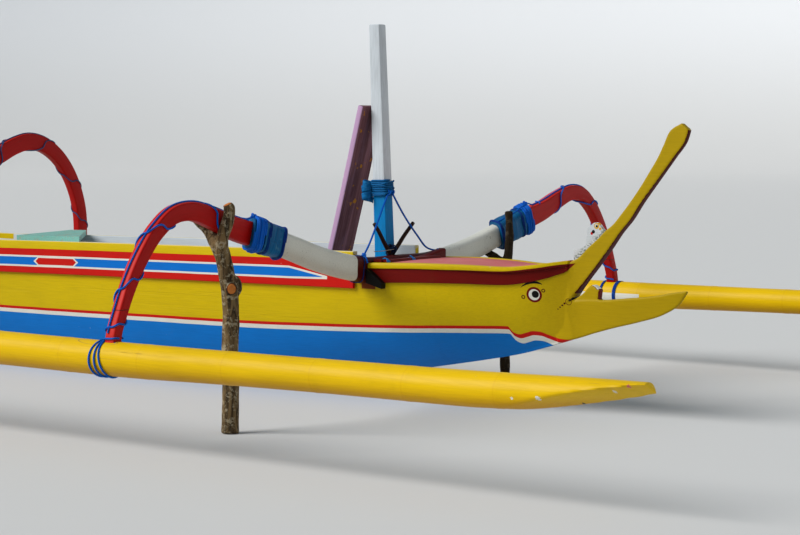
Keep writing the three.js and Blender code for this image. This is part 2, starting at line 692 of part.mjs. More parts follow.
add('hull_shell', hullShell(), paint.yellow);
add('bow_head', bowHead(), paint.yellow);
add('stern_fin', sternFin(), paint.yellow);
add('foredeck', deckBoard(stationsBetween(board.fore + seatGap, deckFore - 3)), paint.pink);
add('stern_deck', deckBoard(stationsBetween(sternDeckAft + 3, sternDeckFore)), paint.pink);
add('bow_crest', crest(), paint.white);
for (const [side, hand] of [['port', 1], ['stbd', -1]]) {
  add(`washstrake_${side}`, washstrake(side), paint.yellow);
  add(`bow_cap_${side}`, capRail(bowStations, hand), paint.yellow);
  add(`bow_strake_${side}`, endStrake(bowStations, hand, deckAft, deckFore), paint.darkRed);
  add(`stern_cap_${side}`, capRail(sternStations, hand), paint.yellow);
  add(`stern_strake_${side}`, endStrake(sternStations, hand, sternDeckFore, sternDeckAft), paint.darkRed);
  add(`float_${side}`, float(hand), paint.floatYellow);
  add(`fore_arm_${side}`, arm(foreArmRows, foreBeamRows, 0, hand, armWidth.fore), paint.red);
  add(`aft_arm_${side}`, arm(aftArmRows, aftBeamRows, aftBeamAt, hand, armWidth.aft), paint.red);
  const wrap = jointWrap(foreBeamRows, foreArmRows, 0, hand, armWidth.fore, wrapMove[`fore_${side}`]);
  add(`fore_wrap_${side}`, wrap, paint.wrapBlue);
  add(`aft_wrap_${side}`, jointWrap(aftBeamRows, aftArmRows, aftBeamAt, hand, armWidth.aft), paint.wrapBlue);
  add(`mast_stay_${side}`, stay(hand), paint.ropeBlue);
  add(`beam_chock_${side}`, beamChock(hand), paint.black);
}
add('fore_beam', crossbeam(foreBeamRows, 0), paint.white);
add('aft_beam', crossbeam(aftBeamRows, aftBeamAt, strakeNotch(1), strakeNotch(-1)), paint.white);
add('beam_board', beamBoard(), paint.darkRed);
add('mast_partner', cut(thwart(-300, -84), mastBody(seatGap)), paint.white);
add('mast_step', mastStep(), paint.wood);
add('mast', mastBody(), paint.blue);
add('leaning_plank', leaningPlank(), paint.weathered);
add('crotch_sticks', crotchSticks(), paint.darkWood);
add('thwart_fore', thwart(-1400, -1220), paint.white);
add('thwart_mid', thwart(-2260, -2060), paint.white);
add('thwart_aft', thwart(-3160, -2980), paint.yellow);
add('seat_board', seatBoard(), paint.turquoise);
add('sole_board', soleBoard(), paint.wood);
const nearArm = barAlong(foreArmRows, 0, -1, armWidth.fore, armCorner, seatGap);
add('fork_prop_stbd', forkedProp(nearProp, nearArm), paint.bark);
add('fork_prop_port', forkedProp(farProp, beamBody(foreBeamRows, 0, seatGap)), paint.bark);

export default boat;
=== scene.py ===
import itertools
import math

import bpy
import numpy as np
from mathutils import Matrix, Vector


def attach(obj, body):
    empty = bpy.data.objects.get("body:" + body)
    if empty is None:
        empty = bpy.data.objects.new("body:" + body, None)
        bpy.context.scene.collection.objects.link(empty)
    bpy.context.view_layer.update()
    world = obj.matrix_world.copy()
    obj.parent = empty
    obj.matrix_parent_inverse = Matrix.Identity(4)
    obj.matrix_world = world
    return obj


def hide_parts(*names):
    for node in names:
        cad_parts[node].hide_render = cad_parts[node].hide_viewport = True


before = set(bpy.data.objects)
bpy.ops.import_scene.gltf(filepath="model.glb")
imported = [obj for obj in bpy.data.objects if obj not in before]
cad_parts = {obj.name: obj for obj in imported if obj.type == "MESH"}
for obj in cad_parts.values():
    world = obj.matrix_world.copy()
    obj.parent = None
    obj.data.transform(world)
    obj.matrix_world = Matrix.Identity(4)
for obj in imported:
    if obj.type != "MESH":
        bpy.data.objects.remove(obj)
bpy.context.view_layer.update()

# Metres. x runs forward, y to port, z up from the ground. The tables below measure x from the fore
# crossbeam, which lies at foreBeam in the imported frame.
foreBeam = 1.514
aftBeam = -4.12
mm = 0.001
gap = 0.3 * mm
hands = (("port", 1), ("stbd", -1))


# Camera
view = {"place": (foreBeam + 5.494, -7.374, 1.267), "heading": (-0.599, 0.8007), "pitch": 4.04, "lens": 88.83}


def addCamera():
    data = bpy.data.cameras.new("camera")
    data.lens = view["lens"]
    data.sensor_width = 36
    data.sensor_fit = "HORIZONTAL"
    camera = bpy.data.objects.new("camera", data)
    bpy.context.collection.objects.link(camera)
    down = math.radians(view["pitch"])
    across, ahead = view["heading"]
    look = Vector((across * math.cos(down), ahead * math.cos(down), -math.sin(down)))
    camera.location = view["place"]
    camera.rotation_euler = look.to_track_quat("-Z", "Y").to_euler()
    bpy.context.scene.camera = camera


addCamera()
print("camera set")


# Number work shared by the shapes

def cubic(start, end, startSlope, endSlope, run, t):
    # cubic piece from start to end with a slope at each, at share t of its run
    leaving = start * (1 + 2 * t) * (1 - t) ** 2 + startSlope * run * t * (1 - t) ** 2
    return leaving + (end * t * t * (3 - 2 * t) + endSlope * run * t * t * (t - 1))


def eased(xs, ys, x):
    # smooth curve through points that never swings past them: cubic pieces whose slope at each point
    # is the harmonic mean of the slopes on its two sides, or 0 where those differ in sign
    xs, ys, x = np.asarray(xs, float), np.asarray(ys, float), np.asarray(x, float)
    run = np.diff(xs)
    rise = np.diff(ys) / run
    slope = np.zeros(len(xs))
    slope[0], slope[-1] = rise[0], rise[-1]
    same = rise[:-1] * rise[1:] > 0
    slope[1:-1][same] = (2 * rise[:-1] * rise[1:])[same] / (rise[:-1] + rise[1:])[same]
    i = np.clip(np.searchsorted(xs, x) - 1, 0, len(run) - 1)
    return cubic(ys[i], ys[i + 1], slope[i], slope[i + 1], run[i], (x - xs[i]) / run[i])


def runOf(points):
    # distance along a line of points from its first one
    return np.concatenate([[0], np.cumsum(np.linalg.norm(np.diff(points, axis=0), axis=1))])


def smoothPath(points, count):
    # curve through hand-set points: each coordinate is a cubic in the distance along the straight
    # lines between them, with the slope at a point taken from its two neighbours
    points = np.asarray(points, float)
    reach = runOf(points)
    slope = np.gradient(points, reach, axis=0)
    s = np.linspace(0, reach[-1], count)
    i = np.clip(np.searchsorted(reach, s) - 1, 0, len(reach) - 2)
    run = (reach[i + 1] - reach[i])[:, None]
    return cubic(points[i], points[i + 1], slope[i], slope[i + 1], run, (s - reach[i])[:, None] / run)


scatter = {"steps": np.array([127.1, 311.7, 74.7]), "seedStep": 17.3, "stretch": 43758.5453}


def lumps(points, size, seed):
    # smooth random value from -1 to 1: random numbers at the corners of cubes of that size, blended
    cell = np.asarray(points, float) / size
    base = np.floor(cell)
    part = cell - base
    part = part * part * (3 - 2 * part)
    total = np.zeros(cell.shape[:-1])
    for corner in itertools.product((0, 1), repeat=3):
        mixed = (base + corner) @ scatter["steps"] + seed * scatter["seedStep"]
        value = np.modf(np.abs(np.sin(mixed) * scatter["stretch"]))[0]
        weight = np.where(np.array(corner) > 0, part, 1 - part).prod(axis=-1)
        total += value * weight
    return 2 * total - 1


def unit(vectors):
    return vectors / np.maximum(np.linalg.norm(vectors, axis=-1, keepdims=True), 1e-9)


class Shell:
    # gathers grids of points into one mesh; flow holds, for each point, metres along, across and through
    def __init__(self):
        self.points, self.flow, self.faces, self.count = [], [], [], 0

    def add(self, grid, flow=None, flat=False):
        # a closed skin: the grid's second direction goes round, and each end is closed on a middle
        # point or, where the outline is hollow somewhere, by one flat face
        rows, around = grid.shape[:2]
        flow = grid if flow is None else flow
        points = np.concatenate([grid.reshape(-1, 3), [grid[0].mean(0), grid[-1].mean(0)]])
        number = np.arange(rows * around).reshape(rows, around)
        nextOne = np.roll(number, -1, axis=1)
        quads = np.stack([number[:-1], nextOne[:-1], nextOne[1:], number[1:]], axis=-1).reshape(-1, 4)
        hubs = rows * around, rows * around + 1
        start = np.stack([np.full(around, hubs[0]), nextOne[0], number[0]], axis=-1)
        finish = np.stack([np.full(around, hubs[1]), number[-1], nextOne[-1]], axis=-1)
        triangles = np.concatenate([quads[:, :3], quads[:, [0, 2, 3]], start, finish])
        a, b, c = (points[triangles[:, k]] for k in range(3))
        order = 1 if np.einsum("ij,ij->i", a, np.cross(b, c)).sum() > 0 else -1
        groups = [quads, number[:1, ::-1], number[-1:]] if flat else [quads, start, finish]
        for group in groups:
            self.faces += (group[:, ::order] + self.count).tolist()
        kept = len(points) - (2 if flat else 0)
        self.points.append(points[:kept])
        flowEnds = [flow[0].mean(0), flow[-1].mean(0)]
        self.flow.append(np.concatenate([flow.reshape(-1, 3), flowEnds])[:kept])
        self.count += kept
        return self

    def mesh(self, name):
        mesh = bpy.data.meshes.new(name)
        mesh.from_pydata(np.concatenate(self.points).tolist(), [], self.faces)
        setValues(mesh, "flow", np.concatenate(self.flow))
        return mesh


def setValues(mesh, name, values):
    values = np.ascontiguousarray(values, np.float32)
    kind, key = ("FLOAT_VECTOR", "vector") if values.ndim == 2 else ("FLOAT", "value")
    mesh.attributes.new(name, kind, "POINT").data.foreach_set(key, values.ravel())


def meshPoints(mesh, key="co"):
    flat = np.empty(len(mesh.vertices) * 3, np.float32)
    mesh.vertices.foreach_get(key, flat)
    return flat.reshape(-1, 3).astype(float)


def finishPiece(name, form, sheet, replaces=(), sharp=38):
    # form is a mesh, or a shell that becomes one
    mesh = form.mesh(name) if isinstance(form, Shell) else form
    mesh.materials.append(sheet.material)
    mesh.shade_smooth()
    mesh.set_sharp_from_angle(angle=math.radians(sharp))
    piece = bpy.data.objects.new(name, mesh)
    bpy.context.collection.objects.link(piece)
    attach(piece, "root")
    if replaces:
        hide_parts(*replaces)


def roundedSection(arc):
    # a rectangle with rounded corners, going round once: for each point the sign of its corner and
    # its direction on the arc there
    signs = np.repeat([(1.0, 1.0), (-1.0, 1.0), (-1.0, -1.0), (1.0, -1.0)], arc, axis=0)
    angle = (np.arange(4)[:, None] + np.linspace(0, 1, arc)).ravel() * math.pi / 2
    return signs, np.stack([np.cos(angle), np.sin(angle)], axis=-1)


def swept(middle, side, over, a, b):
    return middle[:, None, :] + a[..., None] * side[:, None, :] + b[..., None] * over[:, None, :]


def bar(middle, side, over, wide, deep, corner=6 * mm, ends=3 * mm, arc=4):
    # rounded rectangle carried along a line: middle + side . a + over . b, where a and b go round the
    # rectangle; the two end rings are drawn in so that the ends have a small rounding too
    middle = np.asarray(middle, float)
    side, over = (np.broadcast_to(np.asarray(v, float), middle.shape) for v in (side, over))
    wide, deep = (np.broadcast_to(np.asarray(v, float), (len(middle),)) for v in (wide, deep))
    heading = unit(np.gradient(middle, axis=0))
    inner = [middle[0] + heading[0] * ends, middle[-1] - heading[-1] * ends]
    middle = np.concatenate([middle[:1], inner[:1], middle[1:-1], inner[1:], middle[-1:]])
    side, over = (np.concatenate([v[:1], v, v[-1:]]) for v in (side, over))
    wide, deep = (np.concatenate([[v[0] - 2 * ends], v, [v[-1] - 2 * ends]]) for v in (wide, deep))
    signs, turns = roundedSection(arc)
    radius = np.minimum(corner, np.minimum(wide, deep) * 0.45)[:, None]
    a, b = (signs[None, :, k] * (size[:, None] / 2 - radius) + turns[None, :, k] * radius
            for k, size in enumerate((wide, deep)))
    flow = np.stack(np.broadcast_arrays(runOf(middle)[:, None], a, b), axis=-1)
    return swept(middle, side, over, a, b), flow


def carried(outline):
    # a ring for each station from the points of an outline, each given as three columns or plain
    # numbers: ahead of the fore beam, across and up
    columns = [np.concatenate(np.broadcast_arrays(*point), axis=1) for point in outline]
    return np.stack(columns, axis=1) + (foreBeam, 0, 0)


def rope(path, radius, sides=8, reference=(0, 0, 1)):
    # circle carried along a path: path + radius . (side . cos a + over . sin a)
    path = np.asarray(path, float)
    heading = unit(np.gradient(path, axis=0))
    side = unit(np.cross(heading, np.broadcast_to(np.asarray(reference, float), path.shape)))
    over = np.cross(side, heading)
    angle = np.linspace(0, 2 * math.pi, sides, endpoint=False)
    radius = np.broadcast_to(np.asarray(radius, float), (len(path),))[:, None]
    flow = np.stack(np.broadcast_arrays(runOf(path)[:, None], angle / (2 * math.pi), 0.0), axis=-1)
    return swept(path, side, over, radius * np.cos(angle), radius * np.sin(angle)), flow


def strip(path, normal, wide, thick):
    # flat band carried along a path, its face square to normal
    path = np.asarray(path, float)
    heading = unit(np.gradient(path, axis=0))
    normal = unit(np.broadcast_to(np.asarray(normal, float), path.shape))
    side = unit(np.cross(heading, normal))
    return bar(path, side, np.cross(side, heading), wide, thick, corner=thick * 0.45, ends=thick * 0.4, arc=3)


def fused(name, shell, voxel, easing):
    # one skin round overlapping closed shapes, from cubes of size voxel, eased by small steps
    source = bpy.data.objects.new(name, shell.mesh(name))
    bpy.context.collection.objects.link(source)
    remesh = source.modifiers.new("skin", "REMESH")
    remesh.mode = "VOXEL"
    remesh.voxel_size = voxel
    ease = source.modifiers.new("ease", "SMOOTH")
    ease.iterations = easing
    ease.factor = 0.5
    graph = bpy.context.evaluated_depsgraph_get()
    mesh = bpy.data.meshes.new_from_object(source.evaluated_get(graph))
    mesh.materials.clear()
    bpy.data.objects.remove(source)
    return mesh


# Materials

class Wire:
    # one value on its way through a material; arithmetic on it adds Math nodes
    def __init__(self, sheet, socket):
        self.sheet, self.socket = sheet, socket

    def do(self, operation, *values):
        return self.sheet.node("ShaderNodeMath", {"operation": operation}, dict(enumerate(values)))

    def __add__(self, other):
        return self.do("ADD", self, other)

    def __radd__(self, other):
        return self.do("ADD", other, self)

    def __sub__(self, other):
        return self.do("SUBTRACT", self, other)

    def __rsub__(self, other):
        return self.do("SUBTRACT", other, self)

    def __mul__(self, other):
        return self.do("MULTIPLY", self, other)

    def __rmul__(self, other):
        return self.do("MULTIPLY", other, self)

    def __truediv__(self, other):
        return self.do("DIVIDE", self, other)

    def __abs__(self):
        return self.do("ABSOLUTE", self)

    def top(self, other):
        return self.do("MAXIMUM", self, other)

    def least(self, other):
        return self.do("MINIMUM", self, other)

    def sine(self):
        return self.do("SINE", self)


class Sheet:
    # one material: every node comes from node(), with its settings first and then its sockets
    def __init__(self, name):
        self.material = bpy.data.materials.new(name)
        self.material.use_nodes = True
        self.tree = self.material.node_tree
        self.tree.nodes.clear()
        self.surface = self.tree.nodes.new("ShaderNodeBsdfPrincipled")
        end = self.tree.nodes.new("ShaderNodeOutputMaterial")
        self.tree.links.new(self.surface.outputs[0], end.inputs["Surface"])

    def node(self, kind, settings=None, inputs=None, output=0):
        made = self.tree.nodes.new(kind)
        for key, value in (settings or {}).items():
            setattr(made, key, value)
        self.plug(made, inputs or {})
        return Wire(self, made.outputs[output])

    def plug(self, made, inputs):
        for key, value in inputs.items():
            if isinstance(value, Wire):
                self.tree.links.new(value.socket, made.inputs[key])
            else:
                made.inputs[key].default_value = value

    def place(self):
        return self.node("ShaderNodeTexCoord", output="Object")

    def flow(self):
        return self.node("ShaderNodeAttribute", {"attribute_name": "flow"}, output="Vector")

    def value(self, name):
        return self.node("ShaderNodeAttribute", {"attribute_name": name}, output="Fac")

    def split(self, vector):
        parts = self.node("ShaderNodeSeparateXYZ", inputs={0: vector})
        return [Wire(self, socket) for socket in parts.socket.node.outputs]

    def measures(self, place):
        # a place split in three, with x measured from the fore beam
        x, y, z = self.split(place)
        return x - foreBeam, y, z

    def length(self, across, up):
        flat = self.node("ShaderNodeCombineXYZ", inputs={0: across, 1: up})
        return self.node("ShaderNodeVectorMath", {"operation": "LENGTH"}, {0: flat}, output="Value")

    def turned(self, vector, axis, degrees):
        sockets = {"Vector": vector, "Angle": math.radians(degrees)}
        return self.node("ShaderNodeVectorRotate", {"rotation_type": axis}, sockets)

    def crosswise(self):
        return self.turned(self.place(), "Z_AXIS", 90)

    def stretched(self, vector, scale):
        return self.node("ShaderNodeVectorMath", {"operation": "MULTIPLY"}, {0: vector, 1: scale})

    def noise(self, vector, scale, detail=3, roughness=0.55, twist=0):
        sockets = {"Vector": vector, "Scale": scale, "Detail": detail, "Roughness": roughness,
                   "Distortion": twist}
        return self.node("ShaderNodeTexNoise", inputs=sockets)

    def grain(self, vector, scales, size=1, detail=3, roughness=0.55, twist=0):
        # noise stretched out along the directions that have the smaller scales
        return self.noise(self.stretched(vector, scales), size, detail, roughness, twist)

    def step(self, value, low, high):
        sockets = {"Value": value, "From Min": low, "From Max": high}
        return self.node("ShaderNodeMapRange", {"interpolation_type": "SMOOTHSTEP"}, sockets)

    def above(self, value, soft=0.7 * mm):
        return self.step(value, -soft, soft)

    def band(self, value, low, high, soft=0.7 * mm):
        return self.step(value, low - soft, low + soft) * (1 - self.step(value, high - soft, high + soft))

    def mix(self, share, a, b, blend="MIX"):
        settings = {"data_type": "RGBA", "blend_type": blend}
        return self.node("ShaderNodeMix", settings, {0: share, 6: a, 7: b}, output=2)

    def layers(self, colour, *coats):
        # paints one coat after another over a colour; a coat is a mask and its colour or its ink's name
        for mask, over in coats:
            colour = self.mix(mask, colour, inks[over] if isinstance(over, str) else over)
        return colour

    def finish(self, colour, rough, height=None, depth=1 * mm):
        inputs = {"Base Color": colour, "Roughness": rough, "Specular IOR Level": 0.12}
        if height is not None:
            sockets = {"Strength": 1.0, "Distance": depth, "Height": height}
            inputs["Normal"] = self.node("ShaderNodeBump", inputs=sockets)
        self.plug(self.surface, inputs)
        return self


def ink(red, green, blue):
    # display colour, 0 to 255, as the linear colour that the shader takes
    levels = np.array([red, green, blue]) / 255
    linear = np.where(levels <= 0.04045, levels / 12.92, ((levels + 0.055) / 1.055) ** 2.4)
    return (*[float(v) for v in linear], 1.0)


inks = {
    "yellow": (208, 178, 0), "shadedYellow": (166, 136, 0), "bamboo": (230, 188, 0), "floatDeep": (216, 164, 0),
    "amber": (190, 124, 0), "ochre": (214, 164, 10), "white": (222, 220, 208), "coolWhite": (206, 212, 216),
    "red": (196, 18, 8), "maskRed": (196, 16, 12), "armRed": (186, 12, 8), "armHighlight": (214, 44, 36),
    "darkRed": (104, 6, 2), "brownRed": (74, 6, 4), "pink": (214, 108, 106), "blue": (0, 108, 198),
    "deepBlue": (0, 112, 196), "mastBlue": (0, 130, 196), "rubberBlue": (4, 94, 140), "ropeBlue": (0, 104, 214),
    "navy": (0, 36, 96), "deepNavy": (0, 52, 136), "teal": (16, 110, 168), "strapBlue": (40, 130, 200),
    "slate": (60, 92, 140), "sky": (96, 170, 222), "turquoise": (132, 192, 178), "sage": (110, 120, 110),
    "lilac": (196, 160, 196), "plumWood": (136, 92, 98), "plumDark": (86, 56, 62), "black": (14, 13, 12),
    "bark": (120, 98, 66), "darkBark": (44, 34, 22), "mottle": (176, 164, 136), "bareBark": (44, 34, 24),
    "cutWood": (214, 130, 62), "bareWood": (150, 116, 78), "rimBrown": (92, 44, 20), "stickBrown": (66, 40, 28),
    "grime": (84, 66, 20), "string": (206, 196, 176),
}
inks = {name: ink(*levels) for name, levels in inks.items()}


def weathered(sheet, colour, vector, amount=1.0, under="white"):
    # hand-brushed paint on wood: slow drift of tone, brush streaks along the grain, small chips, thin grime
    slow = sheet.noise(vector, 2.3, 2)
    streak = sheet.grain(vector, (3, 60, 60), 3, 2)
    fine = sheet.noise(vector, 140, 2)
    chips = sheet.step(sheet.noise(vector, 36, 5, 0.65), 0.72 - 0.02 * amount, 0.75)
    grime = sheet.step(sheet.noise(vector, 7, 4, 0.7, 0.6), 0.54, 0.84)
    shade = 1 - (sheet.step(slow, 0.3, 0.75) * 0.14 + sheet.step(streak, 0.35, 0.7) * 0.12) * amount
    colour = sheet.mix(1.0, colour, shade, "MULTIPLY")
    colour = sheet.layers(colour, (grime * 0.16 * amount, "grime"), (chips * 0.6 * amount, under))
    rough = 0.36 + slow * 0.1 + streak * 0.12 + chips * 0.2
    height = streak * 0.5 + slow * 0.8 + fine * 0.12 - chips * 0.5
    return colour, rough, height


def paintSheet(name, colour, amount, under="white", vector=Sheet.flow):
    sheet = Sheet(name)
    return sheet.finish(*weathered(sheet, inks[colour], vector(sheet), amount, under), depth=0.8 * mm)


def ropeSheet(name, colour, pitch=22 * mm):
    # laid rope: three strands that wind round as the length runs on
    sheet = Sheet(name)
    run, turn, _ = sheet.split(sheet.flow())
    strand = ((run / pitch + turn) * (3 * 2 * math.pi)).sine()
    faded = sheet.step(sheet.noise(sheet.place(), 90, 3), 0.5, 0.8) * 0.1
    # the grooves between the strands are navy: painted shade
    tone = sheet.layers(inks["navy"], (sheet.step(strand, -1, 0.4) * 0.6 + 0.4, colour), (faded, "sky"))
    return sheet.finish(tone, 0.62, strand, depth=0.7 * mm)


def rubberSheet():
    sheet = Sheet("rubber_strip")
    folds = sheet.grain(sheet.flow(), (140, 3, 3))
    bloom = sheet.step(sheet.noise(sheet.place(), 30, 4), 0.56, 0.8) * 0.25
    # the folds are painted navy: painted shade in them
    dark = sheet.step(folds, 0.3, 0.7) * 0.5
    tone = sheet.layers(inks["rubberBlue"], (dark, "navy"), (bloom, "turquoise"))
    return sheet.finish(tone, 0.42 + folds * 0.15, folds, depth=1.5 * mm)


print("materials ready")


# Hull lines, from stern to bow: station, half beam, cap top, keel, fullness of the section
hullRows = np.array([
    (-5.1, 0.026, 0.742, 0.4, 1.0), (-4.95, 0.052, 0.722, 0.352, 1.0), (-4.8, 0.118, 0.7, 0.303, 0.9),
    (-4.62, 0.182, 0.684, 0.252, 0.78), (-4.3, 0.252, 0.668, 0.173, 0.64), (-3.9, 0.286, 0.66, 0.096, 0.56),
    (-3.3, 0.296, 0.655, 0.024, 0.5), (-2.8, 0.298, 0.65, 0.0, 0.48), (-2.06, 0.3, 0.65, 0.0, 0.47),
    (-1.35, 0.298, 0.65, 0.0, 0.48), (-0.8, 0.296, 0.65, 0.03, 0.5), (-0.3, 0.295, 0.652, 0.088, 0.54),
    (0, 0.294, 0.656, 0.133, 0.58), (0.3, 0.262, 0.663, 0.186, 0.66), (0.48, 0.222, 0.662, 0.22, 0.74),
    (0.66, 0.17, 0.657, 0.258, 0.82), (0.8, 0.118, 0.67, 0.298, 0.8), (0.88, 0.076, 0.683, 0.3225, 0.7),
    (0.92, 0.0575, 0.688, 0.3355, 0.64), (0.95, 0.047, 0.691, 0.3455, 0.6), (0.985, 0.0415, 0.695, 0.356, 0.6),
    (1.04, 0.038, 0.7, 0.373, 0.6),
])
strakeRows = np.array([(-4.3, 0.692), (-3.6, 0.674), (-3, 0.67), (-2.45, 0.679), (-1.6, 0.69),
                       (-0.8, 0.698), (0, 0.705)])
hull = {"setIn": 0.015, "wall": 0.032, "floor": 0.045, "cap": 0.025, "hollow": (-4.1, -0.024),
        "scarfs": (-4.62, 0.3), "strakeDepth": 0.17, "lip": 0.06, "strakeWall": 0.034,
        "strakeAft": -4.25, "strakeFore": {1: -0.13, -1: -0.072}, "keelHalf": 0.01, "slabHalf": 0.018,
        "notch": {"at": -0.026, "half": 0.0403, "foot": 0.5615, "flat": 0.016}}


def hullLine(x, column):
    return eased(hullRows[:, 0], hullRows[:, column], x)


def halfBeam(x):
    return hullLine(x, 1)


def capTop(x):
    return hullLine(x, 2)


def underCap(x):
    return capTop(x) - hull["cap"] - gap


def strakeTop(x):
    return eased(strakeRows[:, 0], strakeRows[:, 1], x)


def strakeSeat(x):
    return strakeTop(x) - hull["strakeDepth"] + hull["lip"]


def sectionHalf(x, t, inset=0.0):
    # half breadth of the log at share t of its height: half . sin(90 deg . t ^ full)
    half = np.maximum(halfBeam(x) - hull["setIn"] - inset, hull["slabHalf"])
    out = half * np.sin(np.pi / 2 * np.clip(t, 0, 1) ** hullLine(x, 4))
    return np.maximum(out, np.minimum(hull["keelHalf"], half))


# Height of the upper edge of the boot stripe, with its swoop at the forefoot
bootRows = np.array([
    (-5.4, 0.4), (-4.6, 0.35), (-3.4, 0.328), (-2.479, 0.329), (-1.38, 0.339), (-0.784, 0.345),
    (-0.129, 0.363), (0.139, 0.373), (0.5, 0.386), (0.65, 0.389), (0.657, 0.376), (0.667, 0.361),
    (0.69, 0.3535), (0.724, 0.362), (0.757, 0.371), (0.786, 0.369), (0.821, 0.356), (0.856, 0.344),
    (0.889, 0.34), (0.935, 0.339), (1.6, 0.338),
])


def bootLine(x):
    return eased(bootRows[:, 0], bootRows[:, 1], x)


def bootCoats(sheet):
    # red, white and blue below the boot line, the stripes wider in the swoop; the attribute is the
    # height above that line
    place = sheet.place()
    boot = sheet.value("boot") + sheet.noise(place, 5, 2) * 3 * mm - 1.5 * mm
    swoop = sheet.step(sheet.measures(place)[0], 0.63, 0.7)
    overRed, overWhite = (sheet.above(boot - (swoop * -wider * mm - depth * mm))
                          for wider, depth in ((5, 14.5), (9, 34.5)))
    return [(overRed * (1 - sheet.above(boot)), "red"), (overWhite * (1 - overRed), "white"),
            (1 - overWhite, "deepBlue")]


def hullSheet():
    sheet = Sheet("hull_enamel")
    place = sheet.place()
    x, _, z = sheet.measures(place)
    # the strake's lowest band runs on below the beam in a darker red, painted shade under the beam; before it the
    # paint is worn and browned, partly painted shade under the beam
    under = sheet.band(x, -0.035, 0.042) * sheet.step(z, 0.5345, 0.536)
    worn = sheet.band(x, -0.075, 0.1) * sheet.step(z + sheet.noise(place, 30, 4) * 0.06, 0.53, 0.6)
    inside = sheet.step(sheet.value("inside"), 0.4, 0.6)
    dirt = (1 - sheet.step(z, 0.0, 0.16)) * sheet.noise(place, 14, 4) * 0.5
    tone = sheet.layers(inks["yellow"], (worn * 0.45, "rimBrown"), (under * 0.9, "darkRed"), *bootCoats(sheet),
                        (inside, "coolWhite"), (dirt, "grime"))
    seams = sheet.step(sheet.grain(place, (0.8, 30, 30), 1, 4), 0.62, 0.66)
    colour, rough, height = weathered(sheet, tone, place, 0.6)
    return sheet.finish(colour, rough, height - seams * 0.6, depth=0.8 * mm)


def logShell():
    # the log: for each station, up the outside, over the rim, down the inside and back on the other side;
    # outside the hollow the inside lies flat at the rim's height
    strakeEnds = [end + d for end in hull["strakeFore"].values() for d in (-1 * mm, 1 * mm)]
    notch = hull["notch"]["at"] + np.linspace(-1, 1, 12) * hull["notch"]["half"]
    hollowEnds = [hull["hollow"][0] - 1 * mm, *hull["hollow"], hull["hollow"][1] + 1 * mm]
    stations = np.concatenate([np.linspace(hull["scarfs"][0] + gap / 2, hull["scarfs"][1] - gap / 2, 150),
                               strakeEnds, notch, notch[[0, -1]] + (-gap, gap), hollowEnds,
                               [hull["strakeAft"] - gap, hull["strakeAft"]]])
    x = np.unique(stations)[:, None]
    keel, upper = hullLine(x, 3), underCap(x)
    steps = 26
    t = np.linspace(0, 1, steps)[None, :] ** 1.5
    hollow = (x >= hull["hollow"][0]) & (x <= hull["hollow"][1])
    sides = []
    for hand in (1, -1):
        top = rimHeight(x, hand)
        z = np.minimum(keel + t * (upper - keel), top)
        y = sectionHalf(x, (z - keel) / (upper - keel))
        rimY = np.broadcast_to(sectionHalf(x, (top - keel) / (upper - keel)), (len(x), 1))
        innerKeel = keel + hull["floor"]
        innerT = t[:, ::-1]
        innerZ = np.minimum(innerKeel + innerT * (upper - innerKeel), top)
        innerY = sectionHalf(x, (innerZ - innerKeel) / (upper - innerKeel), hull["wall"])
        innerZ = np.where(hollow, innerZ, top - 0.2 * mm * (1 - innerT))
        outside = np.stack([np.broadcast_to(x, y.shape), hand * y, z], axis=-1)
        inside = np.stack([np.broadcast_to(x, innerY.shape), hand * innerY, innerZ], axis=-1)
        rim = np.stack([x, hand * (rimY - 2 * mm), top], axis=-1)
        sides.append(np.concatenate([outside, rim, inside], axis=1))
    port, starboard = sides
    grid = np.concatenate([port, starboard[:, ::-1]], axis=1)
    flag = np.concatenate([np.zeros(steps + 1), np.ones(2 * steps), np.zeros(steps + 1)])
    return grid + (foreBeam, 0, 0), np.broadcast_to(flag, grid.shape[:2])


def rimHeight(x, hand):
    # top of the log: the strakes' seat, the deck's underside, or the notch for the fore beam
    deck, notch = underCap(x), hull["notch"]
    onSeat = (x > hull["strakeAft"] - gap / 2) & (x < hull["strakeFore"][hand])
    top = np.where(onSeat, np.minimum(strakeSeat(x), deck), deck)
    off = np.abs(x - notch["at"])
    foot = notch["foot"] + np.maximum(off - notch["flat"], 0)
    return np.where(off < notch["half"] + 0.1 * mm, np.minimum(top, foot), top)


def makeLog():
    grid, flag = logShell()
    mesh = Shell().add(grid).mesh("hull_log")
    points = meshPoints(mesh)
    setValues(mesh, "boot", points[:, 2] - bootLine(points[:, 0] - foreBeam))
    setValues(mesh, "inside", np.concatenate([flag.ravel(), [0, 0]]))
    finishPiece("hull_log", mesh, hullEnamel, ["hull_shell"])


hullEnamel = hullSheet()
makeLog()
print("hull done")


# Washstrakes with their painted bands; depth is measured down from the top edge
strakeBands = {"yellow": 0.042, "white": 0.086, "blue": 0.127, "pointed": (0.122, 0.124), "edge": 9 * mm,
               "lozengeAt": (-2.018, -3.45), "flatHalf": 0.128, "tip": -0.252, "taper": 0.2,
               "lozenges": {"white": (0.165, 0.0255), "red": (0.15, 0.0175)}}


